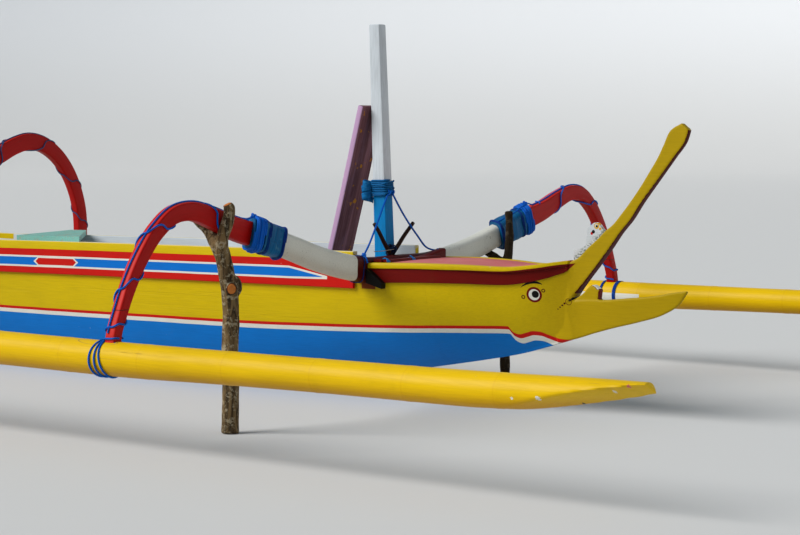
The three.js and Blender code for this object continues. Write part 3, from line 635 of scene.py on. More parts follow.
def strakeSheet():
    sheet = Sheet("strake_bands")
    place = sheet.place()
    x = sheet.measures(place)[0]
    wave = sheet.noise(place, 6, 2) * 2.4 * mm - 1.2 * mm
    depth = sheet.value("depth") + wave
    bands, soft = strakeBands, 0.6 * mm
    # the blue band's edges close to a point at its fore end, and the white goes on a little past it
    fall = ((x - (bands["tip"] - bands["taper"])) / bands["taper"]).top(0)
    upper, lower = (fall * (point - bands[name]) + bands[name]
                    for name, point in zip(("white", "blue"), bands["pointed"]))
    blue, white = (sheet.above(depth - upper + edge, soft) * (1 - sheet.above(depth - lower - edge, soft))
                   * (1 - sheet.step(x, end - 2 * mm, end))
                   for edge, end in ((0, bands["tip"]), (bands["edge"], bands["tip"] + 30 * mm)))
    # lozenges: inside the lines that close in from the flat top and bottom to a point at each end
    middle = (bands["white"] + bands["blue"]) / 2
    coats = []
    for centre in bands["lozengeAt"]:
        for paint, (half, high) in bands["lozenges"].items():
            slope = ((abs(x - centre) - bands["flatHalf"]) / (half - bands["flatHalf"])).top(0)
            within = (1 - slope) * high - abs(depth - middle)
            coats.append((sheet.above(within, soft), paint))
    inside = sheet.value("inside")
    rail = 1 - sheet.step(x, -2.96, -2.95)
    lining = sheet.layers(inks["coolWhite"], (rail * sheet.above(0.03 - depth, 1 * mm), "yellow"))
    tone = sheet.layers(inks["yellow"], (sheet.above(depth - bands["yellow"]), "red"), (white, "white"),
                        (blue, "blue"), *coats, (sheet.step(inside, 0.45, 0.55), lining),
                        (sheet.band(inside, 0.12, 0.5, 0.02) * 0.5, "white"))
    return sheet.finish(*weathered(sheet, tone, place, 0.6), depth=0.7 * mm)


def makeStrake(hand, side, sheet):
    # strake: a plank section with a lip that laps outside the log, carried along the hull's line
    x = np.linspace(hull["strakeAft"] + gap, hull["strakeFore"][hand], 130)[:, None]
    out, top, seat = halfBeam(x), strakeTop(x), strakeSeat(x) + gap
    wall, depth, lap = hull["strakeWall"], hull["strakeDepth"], hull["setIn"] - gap
    bead = 3 * mm
    low = top - depth
    # each point of the outline with its flag: 0 outside, 1 inside, between them on the top edge
    outline = [
        (out - bead, low, 0), (out, low + bead, 0), (out, top - 0.136, 0), (out, top - 0.09, 0),
        (out, top - 0.045, 0), (out, top - 2 * bead, 0), (out - bead * 0.3, top - bead, 0),
        (out - bead, top, 0.25), (out - wall / 2, top, 0.35), (out - wall + bead, top, 0.45),
        (out - wall, top - bead, 1), (out - wall, top - 0.03, 1), (out - wall, seat, 1),
        (out - lap - bead, seat, 1), (out - lap, seat, 0), (out - lap, low + bead, 0), (out - lap + bead, low, 0),
    ]
    grid = carried([(x, hand * y, z) for y, z, _ in outline])
    mesh = Shell().add(grid).mesh(f"strake_{side}")
    flags = np.broadcast_to([flag for _, _, flag in outline], grid.shape[:2]).ravel()
    depths = (top - grid[..., 2]).ravel()
    setValues(mesh, "inside", np.concatenate([flags, [-1, -1]]))
    setValues(mesh, "depth", np.concatenate([depths, [0.03, 0.03]]))
    finishPiece(f"strake_{side}", mesh, sheet, [f"washstrake_{side}"])


strakePaint = strakeSheet()
for sideName, hand in hands:
    makeStrake(hand, sideName, strakePaint)
print("strakes done")


# Carved bow: body of the head, trunk, jaw and tooth, joined under one skin.
# The edges are side views in x and z, from the root outwards.
bow = {
    "bodyEnd": 0.944, "overlap": 0.038, "inset": 1.5 * mm, "voxel": 4 * mm, "easing": 3,
    "trunkUnder": [(0.86, 0.46), (0.925, 0.51), (0.96, 0.551), (1.011, 0.612), (1.059, 0.669),
                   (1.12, 0.746), (1.174, 0.818), (1.221, 0.87), (1.268, 0.937), (1.35, 1.042),
                   (1.427, 1.139), (1.484, 1.214), (1.499, 1.258)],
    "trunkOver": [(0.84, 0.64), (0.9, 0.665), (0.942, 0.69), (0.954, 0.695), (1.016, 0.75),
                  (1.0665, 0.792), (1.095, 0.82), (1.138, 0.853), (1.173, 0.893), (1.25, 0.99),
                  (1.313, 1.083), (1.35, 1.141), (1.378, 1.196), (1.41, 1.258), (1.462, 1.288)],
    "trunkHalf": (0.025, 0.025, 0.024, 0.022, 0.02, 0.018, 0.016),
    "jawUnder": [(0.86, 0.325), (0.933, 0.34), (1.04, 0.374), (1.128, 0.4), (1.257, 0.434),
                 (1.38, 0.474), (1.455, 0.52), (1.493, 0.57)],
    "jawOver": [(0.84, 0.47), (0.92, 0.508), (1, 0.519), (1.095, 0.523), (1.2, 0.535),
                (1.33, 0.551), (1.43, 0.571), (1.49, 0.58)],
    "jawHalf": (0.025, 0.024, 0.022, 0.02, 0.017, 0.012),
    "toothUnder": [(0.915, 0.49), (0.985, 0.5), (1.03, 0.5), (1.062, 0.505)],
    "toothOver": [(0.925, 0.507), (0.986, 0.544), (1.037, 0.586), (1.071, 0.566)],
    "toothHalf": (0.024, 0.022, 0.02, 0.019), "mouth": [(0.93, 0.513), (0.945, 0.523), (0.962, 0.536)],
    "eyeAt": (0.788, 0.5365), "eyeRadius": 0.0345, "scrollAt": (0.926, 0.508),
    "brow": {"aft": 0.059, "long": 0.095, "rise": 0.019, "up": 0.027, "over": 0.0235, "under": 0.0125},
}


def slab(under, over, half, wedge=0.0, corner=7 * mm, count=40, arc=4, root=False):
    # flat carved form between two side edges: the middle of the edges, plus half their difference times b
    # from -1 to 1, plus a across, up to the half thickness; a wedge draws the lower side in, and a slab with
    # its root in the bow is there as thick as the hull, which thins out along it
    low = smoothPath([(x, 0, z) for x, z in under], count)
    high = smoothPath([(x, 0, z) for x, z in over], count)
    middle, reach = (low + high) / 2, (high - low) / 2
    length = np.linalg.norm(reach, axis=1)
    half = np.interp(np.linspace(0, 1, count), np.linspace(0, 1, len(half)), half)
    if root:
        half = np.maximum(half, halfBeam(np.maximum(middle[:, 0], 0.925)) - hull["setIn"])
    signs, turns = roundedSection(arc)
    radius = np.minimum(corner, np.minimum(half, length) * 0.8)[:, None]
    a = signs[None, :, 0] * (half[:, None] - radius) + turns[None, :, 0] * radius
    b = (signs[None, :, 1] * (length[:, None] - radius) + turns[None, :, 1] * radius) / length[:, None]
    a = a * (1 - wedge * (1 - b) / 2)
    grid = middle[:, None, :] + b[..., None] * reach[:, None, :] + a[..., None] * np.array([0, 1, 0])
    return grid + (foreBeam, 0, 0)


def closedBody(x, inset=0.0):
    # the hull's own section at these stations, drawn in by inset and closed over at deck height
    keel, upper = hullLine(x, 3) + inset, underCap(x) - inset
    t = np.linspace(0, 1, 24)[None, :] ** 1.4
    y = sectionHalf(x, t, inset)
    port = np.stack([np.broadcast_to(x, y.shape), y, keel + t * (upper - keel)], axis=-1)
    return np.concatenate([port, port[:, ::-1] * (1, -1, 1)], axis=1) + (foreBeam, 0, 0)


def headBody():
    # forward to the root of the trunk; behind the scarf it runs on a little inside the log
    scarf = hull["scarfs"][1] + gap / 2
    x = np.concatenate([[scarf - bow["overlap"], scarf - gap], np.linspace(scarf, bow["bodyEnd"], 60)])[:, None]
    return closedBody(x, np.where(x < scarf, bow["inset"], 0))


def edgeDistance(points, line):
    # distance in side view from each point to a line of points
    line = np.asarray(line, float)
    best = np.full(len(points), 9.0)
    for start, end in zip(line[:-1], line[1:]):
        run = end - start
        share = np.clip(((points - start) @ run) / (run @ run), 0, 1)[:, None]
        best = np.minimum(best, np.linalg.norm(points - start - share * run, axis=1))
    return best


def headSheet():
    sheet = Sheet("bow_enamel")
    place = sheet.place()
    x, y, z = sheet.measures(place)
    ex, ez = bow["eyeAt"]
    radius = bow["eyeRadius"]

    def reachFrom(cx, cz, squeeze=0.92):
        return sheet.length((x - cx) * (1 / squeeze), z - cz)

    def ringAt(cx, cz, size, thick):
        return sheet.band(reachFrom(cx, cz), size - thick, size, 0.5 * mm)

    eye = reachFrom(ex, ez)
    disc = 1 - sheet.step(eye, radius - 0.5 * mm, radius + 0.5 * mm)
    white = 1 - sheet.step(eye, radius - 10.3 * mm, radius - 9.3 * mm)
    pupil = 1 - sheet.step(reachFrom(ex + 5 * mm, ez + 2 * mm), 15.5 * mm, 16.5 * mm)
    # brow: between two arches over the same base line, pointed aft and blunt ahead
    sizes = bow["brow"]
    u = (x - (ex - sizes["aft"])) * (1 / sizes["long"])
    arch = u * (1 - u) * 4
    base = u * sizes["rise"] + (ez + sizes["up"])
    over, under = base + arch * sizes["over"] + u * 2 * mm, base + arch * sizes["under"] - u * 2 * mm
    brow = sheet.step(over - z, 0, 1 * mm) * sheet.step(z - under, 0, 1 * mm) * sheet.band(u, 0.01, 0.985, 0.01)
    # corner of the mouth: a thin ring, and dots that fall away aft of it
    sx, sz = bow["scrollAt"]
    scroll = ringAt(sx, sz, 15 * mm, 2.6 * mm)
    for step in range(4):
        dot = reachFrom(sx - (0.018 + 0.0095 * step), sz - (0.008 + 0.0085 * step), 1.0)
        scroll = scroll.top(1 - sheet.step(dot, (4.2 - 0.6 * step) * mm, (5.0 - 0.6 * step) * mm))
    curls = ringAt(ex - 0.046, ez - 0.011, 9 * mm, 4.2 * mm).top(ringAt(ex + 0.038, ez + 0.019, 8.5 * mm, 4 * mm))
    flank = sheet.step(abs(y), 0.008, 0.012)
    # the dark strake under the cap runs out on the head itself
    above, below = (x - 0.925) * 0.121 + 0.6745 - z, z - (x - 0.925) * 0.97 - 0.6465
    strake = sheet.step(above, 0, 1 * mm) * sheet.step(below, 0, 1 * mm) * sheet.step(x, 0.917, 0.918)
    underside, mouth, tooth = (sheet.value(name) for name in ("underside", "mouth", "tooth"))
    tone = sheet.layers(
        # towards the bow the yellow is painted deeper: painted shade over the fore part of the head
        inks["yellow"], (sheet.step(x, 0.66, 0.98) * 0.85, "shadedYellow"), *bootCoats(sheet), (strake, "darkRed"),
        (curls * flank, "brownRed"), (disc, "darkRed"), (white, "white"), (pupil, "black"), (brow, "black"),
        # the strip under the trunk: its dark red paint, laid darker as painted shade on its downward face
        (sheet.step(underside, 0.45, 0.55), "brownRed"), (sheet.step(mouth, 0.45, 0.55), "black"),
        (scroll * flank, "brownRed"), (sheet.step(tooth, 0.45, 0.55), "darkRed"),
        # white on the tooth's top: a painted highlight
        (sheet.step(tooth, 1.45, 1.55), "white"))
    return sheet.finish(*weathered(sheet, tone, place, 0.6), depth=0.8 * mm)


def makeBowHead():
    shell = Shell().add(headBody())
    for name, options in (("trunk", {"count": 70, "root": True}),
                          ("jaw", {"count": 60, "root": True, "wedge": 0.5}),
                          ("tooth", {"count": 24, "corner": 4 * mm})):
        shell.add(slab(bow[f"{name}Under"], bow[f"{name}Over"], bow[f"{name}Half"], **options))
    mesh = fused("bow_carving", shell, bow["voxel"], bow["easing"])
    points, normals = meshPoints(mesh), meshPoints(mesh, "normal")
    x, z = points[:, 0] - foreBeam, points[:, 2]
    side = np.stack([x, z], axis=-1)
    setValues(mesh, "boot", z - bootLine(x))
    # strip along the trunk's lower edge, facing down, painted darker as shade
    fromEdge = edgeDistance(side, bow["trunkUnder"][1:])
    facing = (np.abs(normals[:, 1]) < 0.72) & (normals[:, 2] < 0.4)
    setValues(mesh, "underside", ((fromEdge < 0.011) & facing & (x > 0.955)).astype(float))
    # the dark slit of the mouth widens as it opens
    slit = edgeDistance(side, bow["mouth"])
    setValues(mesh, "mouth", (slit < 3.5 * mm + 0.05 * np.clip(x - bow["mouth"][0][0], 0, 0.1)).astype(float))
    # 2 on top of the tooth, where white is painted as a highlight, 1 on its face
    onTooth = (x > 1.035) & (x < 1.085) & (z > 0.525) & (z < 0.6)
    face = onTooth & (normals[:, 0] > 0.62)
    litTop = onTooth & (normals[:, 2] > 0.45) & ~face
    setValues(mesh, "tooth", np.where(litTop, 2.0, np.where(face, 1.0, 0.0)))
    finishPiece("bow_carving", mesh, headSheet(), ["bow_head"], sharp=60)


makeBowHead()
print("bow head done")


# Decks, caps and the dark strakes under the caps
decks = {"foreDeck": (0.018, 0.913), "sternDeck": (-4.897, -4.254), "bow": (0.018, 0.925),
         "stern": (-4.254, -4.9), "capWidth": 0.036, "capOut": 0.005, "inner": 0.0223, "noseFrom": 0.93,
         "noseIn": 0.014, "camber": 4 * mm, "thick": 0.023, "bandIn": 0.003, "bandFade": 0.007}
bandDepth = np.array([(0, 0.067), (0.75, 0.054), (0.91, 0.041), (0.944, 0.034), (0.984, 0.026), (1, 0.0175)])


def railShell(stations, hand):
    # cap: a low plank section with a rounded nose, following the edge of the deck and drawn in to the
    # carved end at its tip
    x = np.linspace(*stations, 60)[:, None]
    share = (x - stations[0]) / (stations[1] - stations[0])
    nose = np.clip((share - decks["noseFrom"]) / (1 - decks["noseFrom"]), 0, 1) ** 2
    outer = halfBeam(x) + decks["capOut"] - decks["noseIn"] * nose
    inner = np.maximum(halfBeam(x) - decks["capWidth"] + decks["capOut"], decks["inner"])
    top = capTop(x)
    foot = top - hull["cap"]
    outline = [(outer - 0.002, foot), (outer, foot + 0.003), (outer, top - 0.008), (outer - 0.003, top - 0.002),
               (outer - 0.008, top), (inner + 0.002, top), (inner, top - 0.002), (inner, foot)]
    return carried([(x, hand * y, z) for y, z in outline])


def capSheet():
    # yellow, with the strake's dark red carried up over the foot of the cap towards the bow
    sheet = Sheet("cap_enamel")
    x = sheet.measures(sheet.place())[0]
    thick = 0.0255 - sheet.step(x, 0.25, 1.0) * 0.0125
    red = sheet.step(sheet.value("drop") - thick, 0, 1 * mm) * sheet.step(x, 0.1, 0.2)
    tone = sheet.layers(inks["yellow"], (red, "darkRed"))
    return sheet.finish(*weathered(sheet, tone, sheet.flow(), 0.9), depth=0.8 * mm)


def makeCap(name, stations, hand, node):
    mesh = Shell().add(railShell(stations, hand)).mesh("cap")
    points = meshPoints(mesh)
    outside = np.abs(points[:, 1]) > halfBeam(points[:, 0] - foreBeam) - 0.02
    setValues(mesh, "drop", np.where(outside, capTop(points[:, 0] - foreBeam) - points[:, 2], 0))
    finishPiece(name, mesh, capYellow, [node])


def bandShell(stations, hand):
    # dark strake: its depth falls slowly at first and then quickly towards the far end
    x = np.linspace(min(stations), max(stations), 60)[:, None]
    share = (x - stations[0]) / (stations[1] - stations[0])
    deep = eased(bandDepth[:, 0], bandDepth[:, 1], share)
    top = underCap(x)
    outer = halfBeam(x) - decks["bandIn"] - decks["bandFade"] * share ** 2
    inner = halfBeam(x) - hull["setIn"] + gap
    outline = [(outer - 0.002, top - deep), (outer, top - deep + 0.002), (outer, top - deep / 2),
               (outer, top - 0.001), (inner, top - 0.001), (inner, top - deep)]
    return carried([(x, hand * y, z) for y, z in outline])


def deckShell(stations):
    # deck board: arched over by camber . (1 - a ^ 2) from edge to edge, flat underneath
    x = np.linspace(*stations, 60)[:, None]
    edge = np.maximum(halfBeam(x) - decks["capWidth"] + decks["capOut"] - gap, 3 * mm)
    top = capTop(x) - 0.001
    across = np.linspace(1, -1, 17)
    upper = [(x, edge * a, top + decks["camber"] * (1 - a ** 2) - 0.002) for a in across]
    return carried(upper + [(x, edge * a, top - decks["thick"]) for a in across[::-1]])


capYellow = capSheet()
bandRed = paintSheet("band_enamel", "darkRed", 0.8)
deckPink = paintSheet("deck_enamel", "pink", 1.1)
for sideName, hand in hands:
    for end in ("bow", "stern"):
        makeCap(f"cap_{end}_{sideName}", decks[end], hand, f"{end}_cap_{sideName}")
    for end in ("bow", "stern"):
        finishPiece(f"band_{end}_{sideName}", Shell().add(bandShell(decks[end], hand)), bandRed,
                    [f"{end}_strake_{sideName}"])
finishPiece("deck_bow", Shell().add(deckShell(decks["foreDeck"])), deckPink, ["foredeck"])
finishPiece("deck_stern", Shell().add(deckShell(decks["sternDeck"])), deckPink, ["stern_deck"])
print("decks done")


# Crossbeams and arms: out, set aft, height of the middle, depth
foreBeamRows = np.array([(0, .026, .612, .13), (.28, .025, .621, .12), (.36, .023, .634, .114),
                         (.6, .013, .685, .109), (.846, .003, .757, .104), (1.12, 0, .836, .1)])
aftBeamRows = np.array([(0, 0, .732, .114), (.25, 0, .74, .114), (.42, 0, .786, .113), (.64, 0, .87, .11),
                        (.846, 0, .958, .106), (1.12, 0, 1.062, .104)])
foreArmRows = np.array([
    (.86, 0, .76, .1), (1.06, 0, .814, .102), (1.2, 0, .85, .096), (1.33, 0, .897, .086), (1.46, 0, .929, .077),
    (1.56, 0, .918, .072), (1.66, 0, .855, .066), (1.745, 0, .76, .061), (1.812, 0, .655, .056),
    (1.866, 0, .54, .05), (1.895, 0, .465, .048), (1.905, 0, .4, .048)])
aftArmRows = np.array([
    (.86, 0, .963, .108), (1.06, 0, 1.038, .11), (1.2, 0, 1.098, .11), (1.32, 0, 1.15, .108),
    (1.44, 0, 1.178, .106), (1.57, 0, 1.16, .1), (1.69, 0, 1.092, .095), (1.79, 0, .985, .09),
    (1.862, 0, .85, .086), (1.902, 0, .7, .084), (1.908, 0, .56, .08), (1.905, 0, .4, .076)])
crossings = {"fore": (foreBeamRows, foreArmRows, 0), "aft": (aftBeamRows, aftArmRows, aftBeam)}
spars = {"beamWidth": 0.08, "armWidth": {"fore": 0.052, "aft": 0.056}, "beamCorner": 0.026, "armCorner": 0.009,
         "beamEnd": 1.02, "armStart": 0.96, "floatOut": 1.9}


def barLine(rows, hand, x, count, start, end=math.inf):
    # middle line of a beam or arm as a smooth curve through its rows, with its depth and the square direction
    points = smoothPath(np.stack([np.zeros(len(rows)), rows[:, 0], rows[:, 2]], axis=-1), 400)
    points = points[(points[:, 1] >= start) & (points[:, 1] <= end)]
    reach = runOf(points)
    s = np.linspace(0, reach[-1], count)
    y, z = np.interp(s, reach, points[:, 1]), np.interp(s, reach, points[:, 2])
    rowReach = runOf(rows[:, [0, 2]])
    skipped = np.hypot(points[0, 1] - rows[0, 0], points[0, 2] - rows[0, 2])
    whole = np.clip(s + skipped, 0, rowReach[-1])
    deep, back = eased(rowReach, rows[:, 3], whole), eased(rowReach, rows[:, 1], whole)
    middle = np.stack([np.full(count, x) - back, hand * y, z], axis=-1)
    heading = unit(np.gradient(middle, axis=0))
    over = unit(np.cross(np.array([1.0, 0, 0]), heading)) * hand
    return middle + (foreBeam, 0, 0), over, deep


def beamSheet(where):
    # white outer ends with thrown specks of dirt; the fore beam is dark red where it crosses the hull
    sheet = Sheet(f"beam_enamel_{where}")
    place = sheet.place()
    x, y, _ = sheet.measures(place)
    patches = sheet.step(sheet.noise(place, 7, 2), 0.42, 0.62)
    speck = sheet.step(sheet.noise(place, 95, 3, 0.6), 0.63, 0.68) * patches
    # the underside is painted browner: painted shade
    low = 1 - sheet.step(sheet.value("through"), -0.9, 0.1)
    tone = sheet.layers(inks["white"], (low * 0.35, "bareWood"), (speck * 0.75, "darkBark"))
    if where == "fore":
        inner = 1 - sheet.step(abs(y + 0.052) + sheet.noise(place, 20, 2) * 8 * mm, 0.322, 0.326)
        # painted shadow in the gap behind the board
        gapShadow = sheet.step(x, 0.006, 0.014) * (1 - sheet.step(abs(y), 0.25, 0.27))
        tone = sheet.layers(tone, (inner, "brownRed"), (gapShadow * 0.9, "black"))
    return sheet.finish(*weathered(sheet, tone, place, 0.8, "bareWood"), depth=0.9 * mm)


def makeBeam(where):
    rows, _, x = crossings[where]
    whole = np.concatenate([rows[1:][::-1] * (-1, 1, 1, 1), rows])
    middle, over, deep = barLine(whole, 1, x, 130, -spars["beamEnd"], spars["beamEnd"])
    shell = Shell().add(*bar(middle, (1, 0, 0), over, spars["beamWidth"], deep, spars["beamCorner"], arc=6))
    mesh = shell.mesh(f"crossbeam_{where}")
    # -1 at the underside and 1 on top, where the beam is 0.114 m deep
    setValues(mesh, "through", np.concatenate(shell.flow)[:, 2] / 0.057)
    finishPiece(f"crossbeam_{where}", mesh, beamSheet(where), [f"{where}_beam"])


makeBeam("fore")
makeBeam("aft")


def armSheet():
    sheet = Sheet("arm_enamel")
    flow = sheet.flow()
    _, across, through = sheet.split(flow)
    # the upper face is painted lighter red: a painted highlight where the light falls
    litTop = (1 - sheet.step(abs(across), 0.0215, 0.0245)) * sheet.step(through, 0, 0.01)
    crack = sheet.step(sheet.grain(flow, (1.5, 55, 55), 1, 5, 0.7), 0.66, 0.7)
    # the foot is a piece scarfed on, with a thin open line across the arm
    seam = sheet.band(sheet.split(sheet.place())[2], 0.5555, 0.5585)
    tone = sheet.layers(inks["armRed"], (sheet.grain(flow, (4, 30, 30)) * 0.35, "darkRed"), (litTop * 0.8, "armHighlight"),
                        (crack * 0.5, "darkBark"), (seam * 0.8, "darkBark"))
    colour, rough, height = weathered(sheet, tone, flow, 0.7, "pink")
    return sheet.finish(colour, rough, height - crack * 0.7 - seam, depth=1.0 * mm)


armRed = armSheet()
for where, (_, rows, x) in crossings.items():
    for sideName, hand in hands:
        middle, over, deep = barLine(rows, hand, x, 110, spars["armStart"])
        arm = bar(middle, (1, 0, 0), over, spars["armWidth"][where], deep, spars["armCorner"])
        finishPiece(f"arm_{where}_{sideName}", Shell().add(*arm), armRed, [f"{where}_arm_{sideName}"])
print("beams and arms done")


# Floats
floatRows = np.array([
    (-4.86, .374, .04), (-4.85, .374, .064), (-4.12, .37, .069), (-2.5, .366, .07), (-0.64, .368, .068),
    (0, .367, .069), (.6, .374, .065), (1.13, .38, .063), (1.66, .384, .063), (1.91, .391, .06),
    (2.15, .399, .058), (2.39, .404, .056)])
# marks on it: ahead of the beam, height, size and paint
cane = {"nodes": np.array([-4.62, -4.2, -3.75, -3.31, -2.86, -2.42, -1.98, -1.53, -1.1, -0.66, -0.24, 0.19, 0.62,
                           1.04, 1.45, 1.83]),
        "swell": 1.2 * mm, "groove": 0.7 * mm, "cutFrom": 1.887, "cutSlope": math.radians(63),
        "cutShares": (1, -0.64), "cutSoft": 2 * mm, "around": 64, "tip": 2.389, "tipRound": 4 * mm,
        "marks": [(2.026, 0.341, 5 * mm, "darkBark"), (2.127, 0.365, 5 * mm, "darkBark"),
                  (1.905, 0.374, 6 * mm, "white"), (2.005, 0.383, 9 * mm, "white"),
                  (2.27, 0.42, 6 * mm, "white"), (2.33, 0.445, 7 * mm, "pink")]}


def floatSheet():
    sheet = Sheet("float_enamel")
    place = sheet.place()
    x, y, z = sheet.measures(place)
    # the lower side is painted amber: painted shade on the underside
    low = (1 - sheet.step(sheet.value("round"), -0.95, 0.1)) * 0.6
    ring = sheet.step(sheet.value("ring"), 0.35, 0.9) * 0.12
    crack = sheet.step(sheet.grain(place, (1.1, 70, 70), 1, 5, 0.7), 0.66, 0.69)
    # lens-shaped patch let in round the foot of each arm, on the outer side of the top
    fromFoot = abs(x + 0.061).least(abs(x - aftBeam + 0.061)) / 0.11
    fromCrown = (sheet.value("outward") - 0.34) / 0.33
    patch = sheet.band(fromFoot * fromFoot + fromCrown * fromCrown, 0.86, 1.0, 0.03)
    # bare white field under the port float beside the arm, and nail heads and knocks at the fore ends
    field = sheet.band(x, -0.18, 0.205) * (1 - sheet.step(z, 0.377, 0.38)) * sheet.step(y, 0, 0.1)
    tone = sheet.layers(
        inks["bamboo"], (sheet.grain(place, (2, 40, 40)) * 0.35, "floatDeep"), (low, "amber"), (ring, "amber"),
        (crack * 0.35, "bareWood"), (patch * 0.6, "bareWood"), (field, "white"))
    for spot, up, size, paint in cane["marks"]:
        frayed = (sheet.noise(place, 150, 2) - 0.5) * size * (0.3 if paint == "darkBark" else 2.4)
        ragged = sheet.length(x - spot, z - up) + frayed
        tone = sheet.layers(tone, (1 - sheet.step(ragged, size * 0.8, size), paint))
    colour, rough, height = weathered(sheet, tone, place, 0.6)
    return sheet.finish(colour, rough - 0.06, height - crack * 0.6, depth=0.9 * mm)


def makeFloat(hand, side, sheet):
    # cane: a circle carried along the rows, swollen a little at each joint. At the fore end its lower
    # outer side is cut off on a slant. Seen along the cane the cut is a chord square to the cut's own
    # direction, at a distance that falls evenly from the first share of the radius to the second. The
    # outline is drawn round the middle of what is left: in each direction the nearer of circle and
    # chord, blended, and drawn in to a round end over the last stretch
    joints = [cane["nodes"] + d for d in np.linspace(-0.03, 0.03, 9)]
    last = cane["tip"] - cane["tipRound"] * (1 - np.sin(np.linspace(0, 0.97, 8) * math.pi / 2))
    x = np.unique(np.concatenate([np.linspace(floatRows[0, 0], last[0], 280), *joints, last]))[:, None]
    z, radius = eased(floatRows[:, 0], floatRows[:, 1], x), eased(floatRows[:, 0], floatRows[:, 2], x)
    off = np.abs(x - cane["nodes"]).min(axis=1)[:, None]
    grown = radius + cane["swell"] * np.exp(-(off / 0.014) ** 2) - cane["groove"] * np.exp(-(off / 0.0035) ** 2)
    angle = np.linspace(0, 2 * math.pi, cane["around"], endpoint=False)[None, :]
    turn = cane["cutSlope"]
    ends = [cane["cutFrom"], floatRows[-1, 0]]
    limits = [share * np.interp(end, floatRows[:, 0], floatRows[:, 2])
              for share, end in zip(cane["cutShares"], ends)]
    limit = np.minimum(limits[0] + (x - ends[0]) * (limits[1] - limits[0]) / (ends[1] - ends[0]), 1.4 * grown)
    centre = (np.minimum(limit, grown) - grown) / 2
    across = np.cos(angle + turn)
    circle = -centre * across + np.sqrt(grown ** 2 - (centre * np.sin(angle + turn)) ** 2)
    chord = (limit - centre) / np.maximum(across, 0.05)
    soft = cane["cutSoft"]
    reach = -soft * np.logaddexp(-circle / soft, -chord / soft) * (1 + 0.02 * np.sin(2 * angle + 1.5 * x))
    reach *= np.sqrt(1 - np.clip((x - cane["tip"]) / cane["tipRound"] + 1, 0, 1) ** 2)
    out = centre * math.cos(turn) + reach * np.cos(angle)
    up = -centre * math.sin(turn) + reach * np.sin(angle)
    grid = np.stack([np.broadcast_to(x, out.shape), hand * (spars["floatOut"] + out), z + up], axis=-1)
    mesh = Shell().add(grid + (foreBeam, 0, 0)).mesh(f"float_{side}")
    ring = np.broadcast_to(np.exp(-(off / 0.005) ** 2), out.shape)
    fields = {"ring": ring, "round": up / radius, "outward": np.broadcast_to(math.pi / 2 - angle, out.shape)}
    for name, values in fields.items():
        setValues(mesh, name, np.concatenate([values.ravel(), [0, 0]]))
    finishPiece(f"cane_float_{side}", mesh, sheet, [f"float_{side}"])


floatYellow = floatSheet()
for sideName, hand in hands:
    makeFloat(hand, sideName, floatYellow)
print("floats done")


# Stern piece: the hull's section drawn to an upright fin
stern = {
    "voxel": 6 * mm, "easing": 3, "half": (0.022, 0.021, 0.019, 0.017, 0.015), "aft": -5.1,
    "tipBands": {"red": 1.3, "white": 1.36, "blue": 1.42},
    "aftEdge": [(-4.8, 0.3), (-4.95, 0.354), (-5.15, 0.41), (-5.33, 0.472), (-5.4, 0.545),
                (-5.428, 0.7), (-5.437, 0.88), (-5.429, 1.05), (-5.404, 1.21), (-5.364, 1.35),
                (-5.338, 1.435), (-5.225, 1.548)],
    "foreEdge": [(-4.7, 0.655), (-4.86, 0.68), (-4.96, 0.722), (-5.05, 0.748), (-5.14, 0.788),
                 (-5.194, 0.86), (-5.211, 0.96), (-5.221, 1.06), (-5.234, 1.18), (-5.238, 1.33),
                 (-5.222, 1.47), (-5.216, 1.556)],
}


def sternSheet():
    sheet = Sheet("stern_enamel")
    place = sheet.place()
    z = sheet.split(place)[2]
    bands = [(sheet.step(z, foot, foot + 1 * mm), paint) for paint, foot in stern["tipBands"].items()]
    tone = sheet.layers(inks["yellow"], *bootCoats(sheet), *bands)
    return sheet.finish(*weathered(sheet, tone, place, 0.7), depth=0.8 * mm)


def makeStern():
    body = closedBody(np.linspace(stern["aft"], hull["scarfs"][0] - gap / 2, 40)[:, None])
    shell = Shell().add(body).add(slab(stern["aftEdge"], stern["foreEdge"], stern["half"], count=80))
    mesh = fused("stern_carving", shell, stern["voxel"], stern["easing"])
    points = meshPoints(mesh)
    setValues(mesh, "boot", points[:, 2] - bootLine(points[:, 0] - foreBeam))
    finishPiece("stern_carving", mesh, sternSheet(), ["stern_fin"], sharp=60)


makeStern()


# Crest: a flat carving on the port side of the trunk, white with painted marks
crest = {"face": (0.0254, 0.0454), "edge": 3 * mm,
         "outline": [(0.92, 0.688), (0.916, 0.712), (0.917, 0.726), (0.946, 0.737), (0.969, 0.748), (0.98, 0.763),
                     (0.98, 0.782), (0.985, 0.802), (0.984, 0.818), (1, 0.838), (1.022, 0.853), (1.042, 0.844),
                     (1.053, 0.83), (1.068, 0.816), (1.082, 0.8), (1.062, 0.768), (1.01, 0.716), (0.975, 0.699)],
         "discs": [(1.029, 0.841, 13 * mm, "ochre"), (1.028, 0.842, 8 * mm, "white"),
                   (1.03, 0.84, 5.5 * mm, "black"), (1.047, 0.829, 6 * mm, "ochre"),
                   (1.005, 0.808, 6.5 * mm, "maskRed"), (1.013, 0.8155, 8 * mm, "black")]}


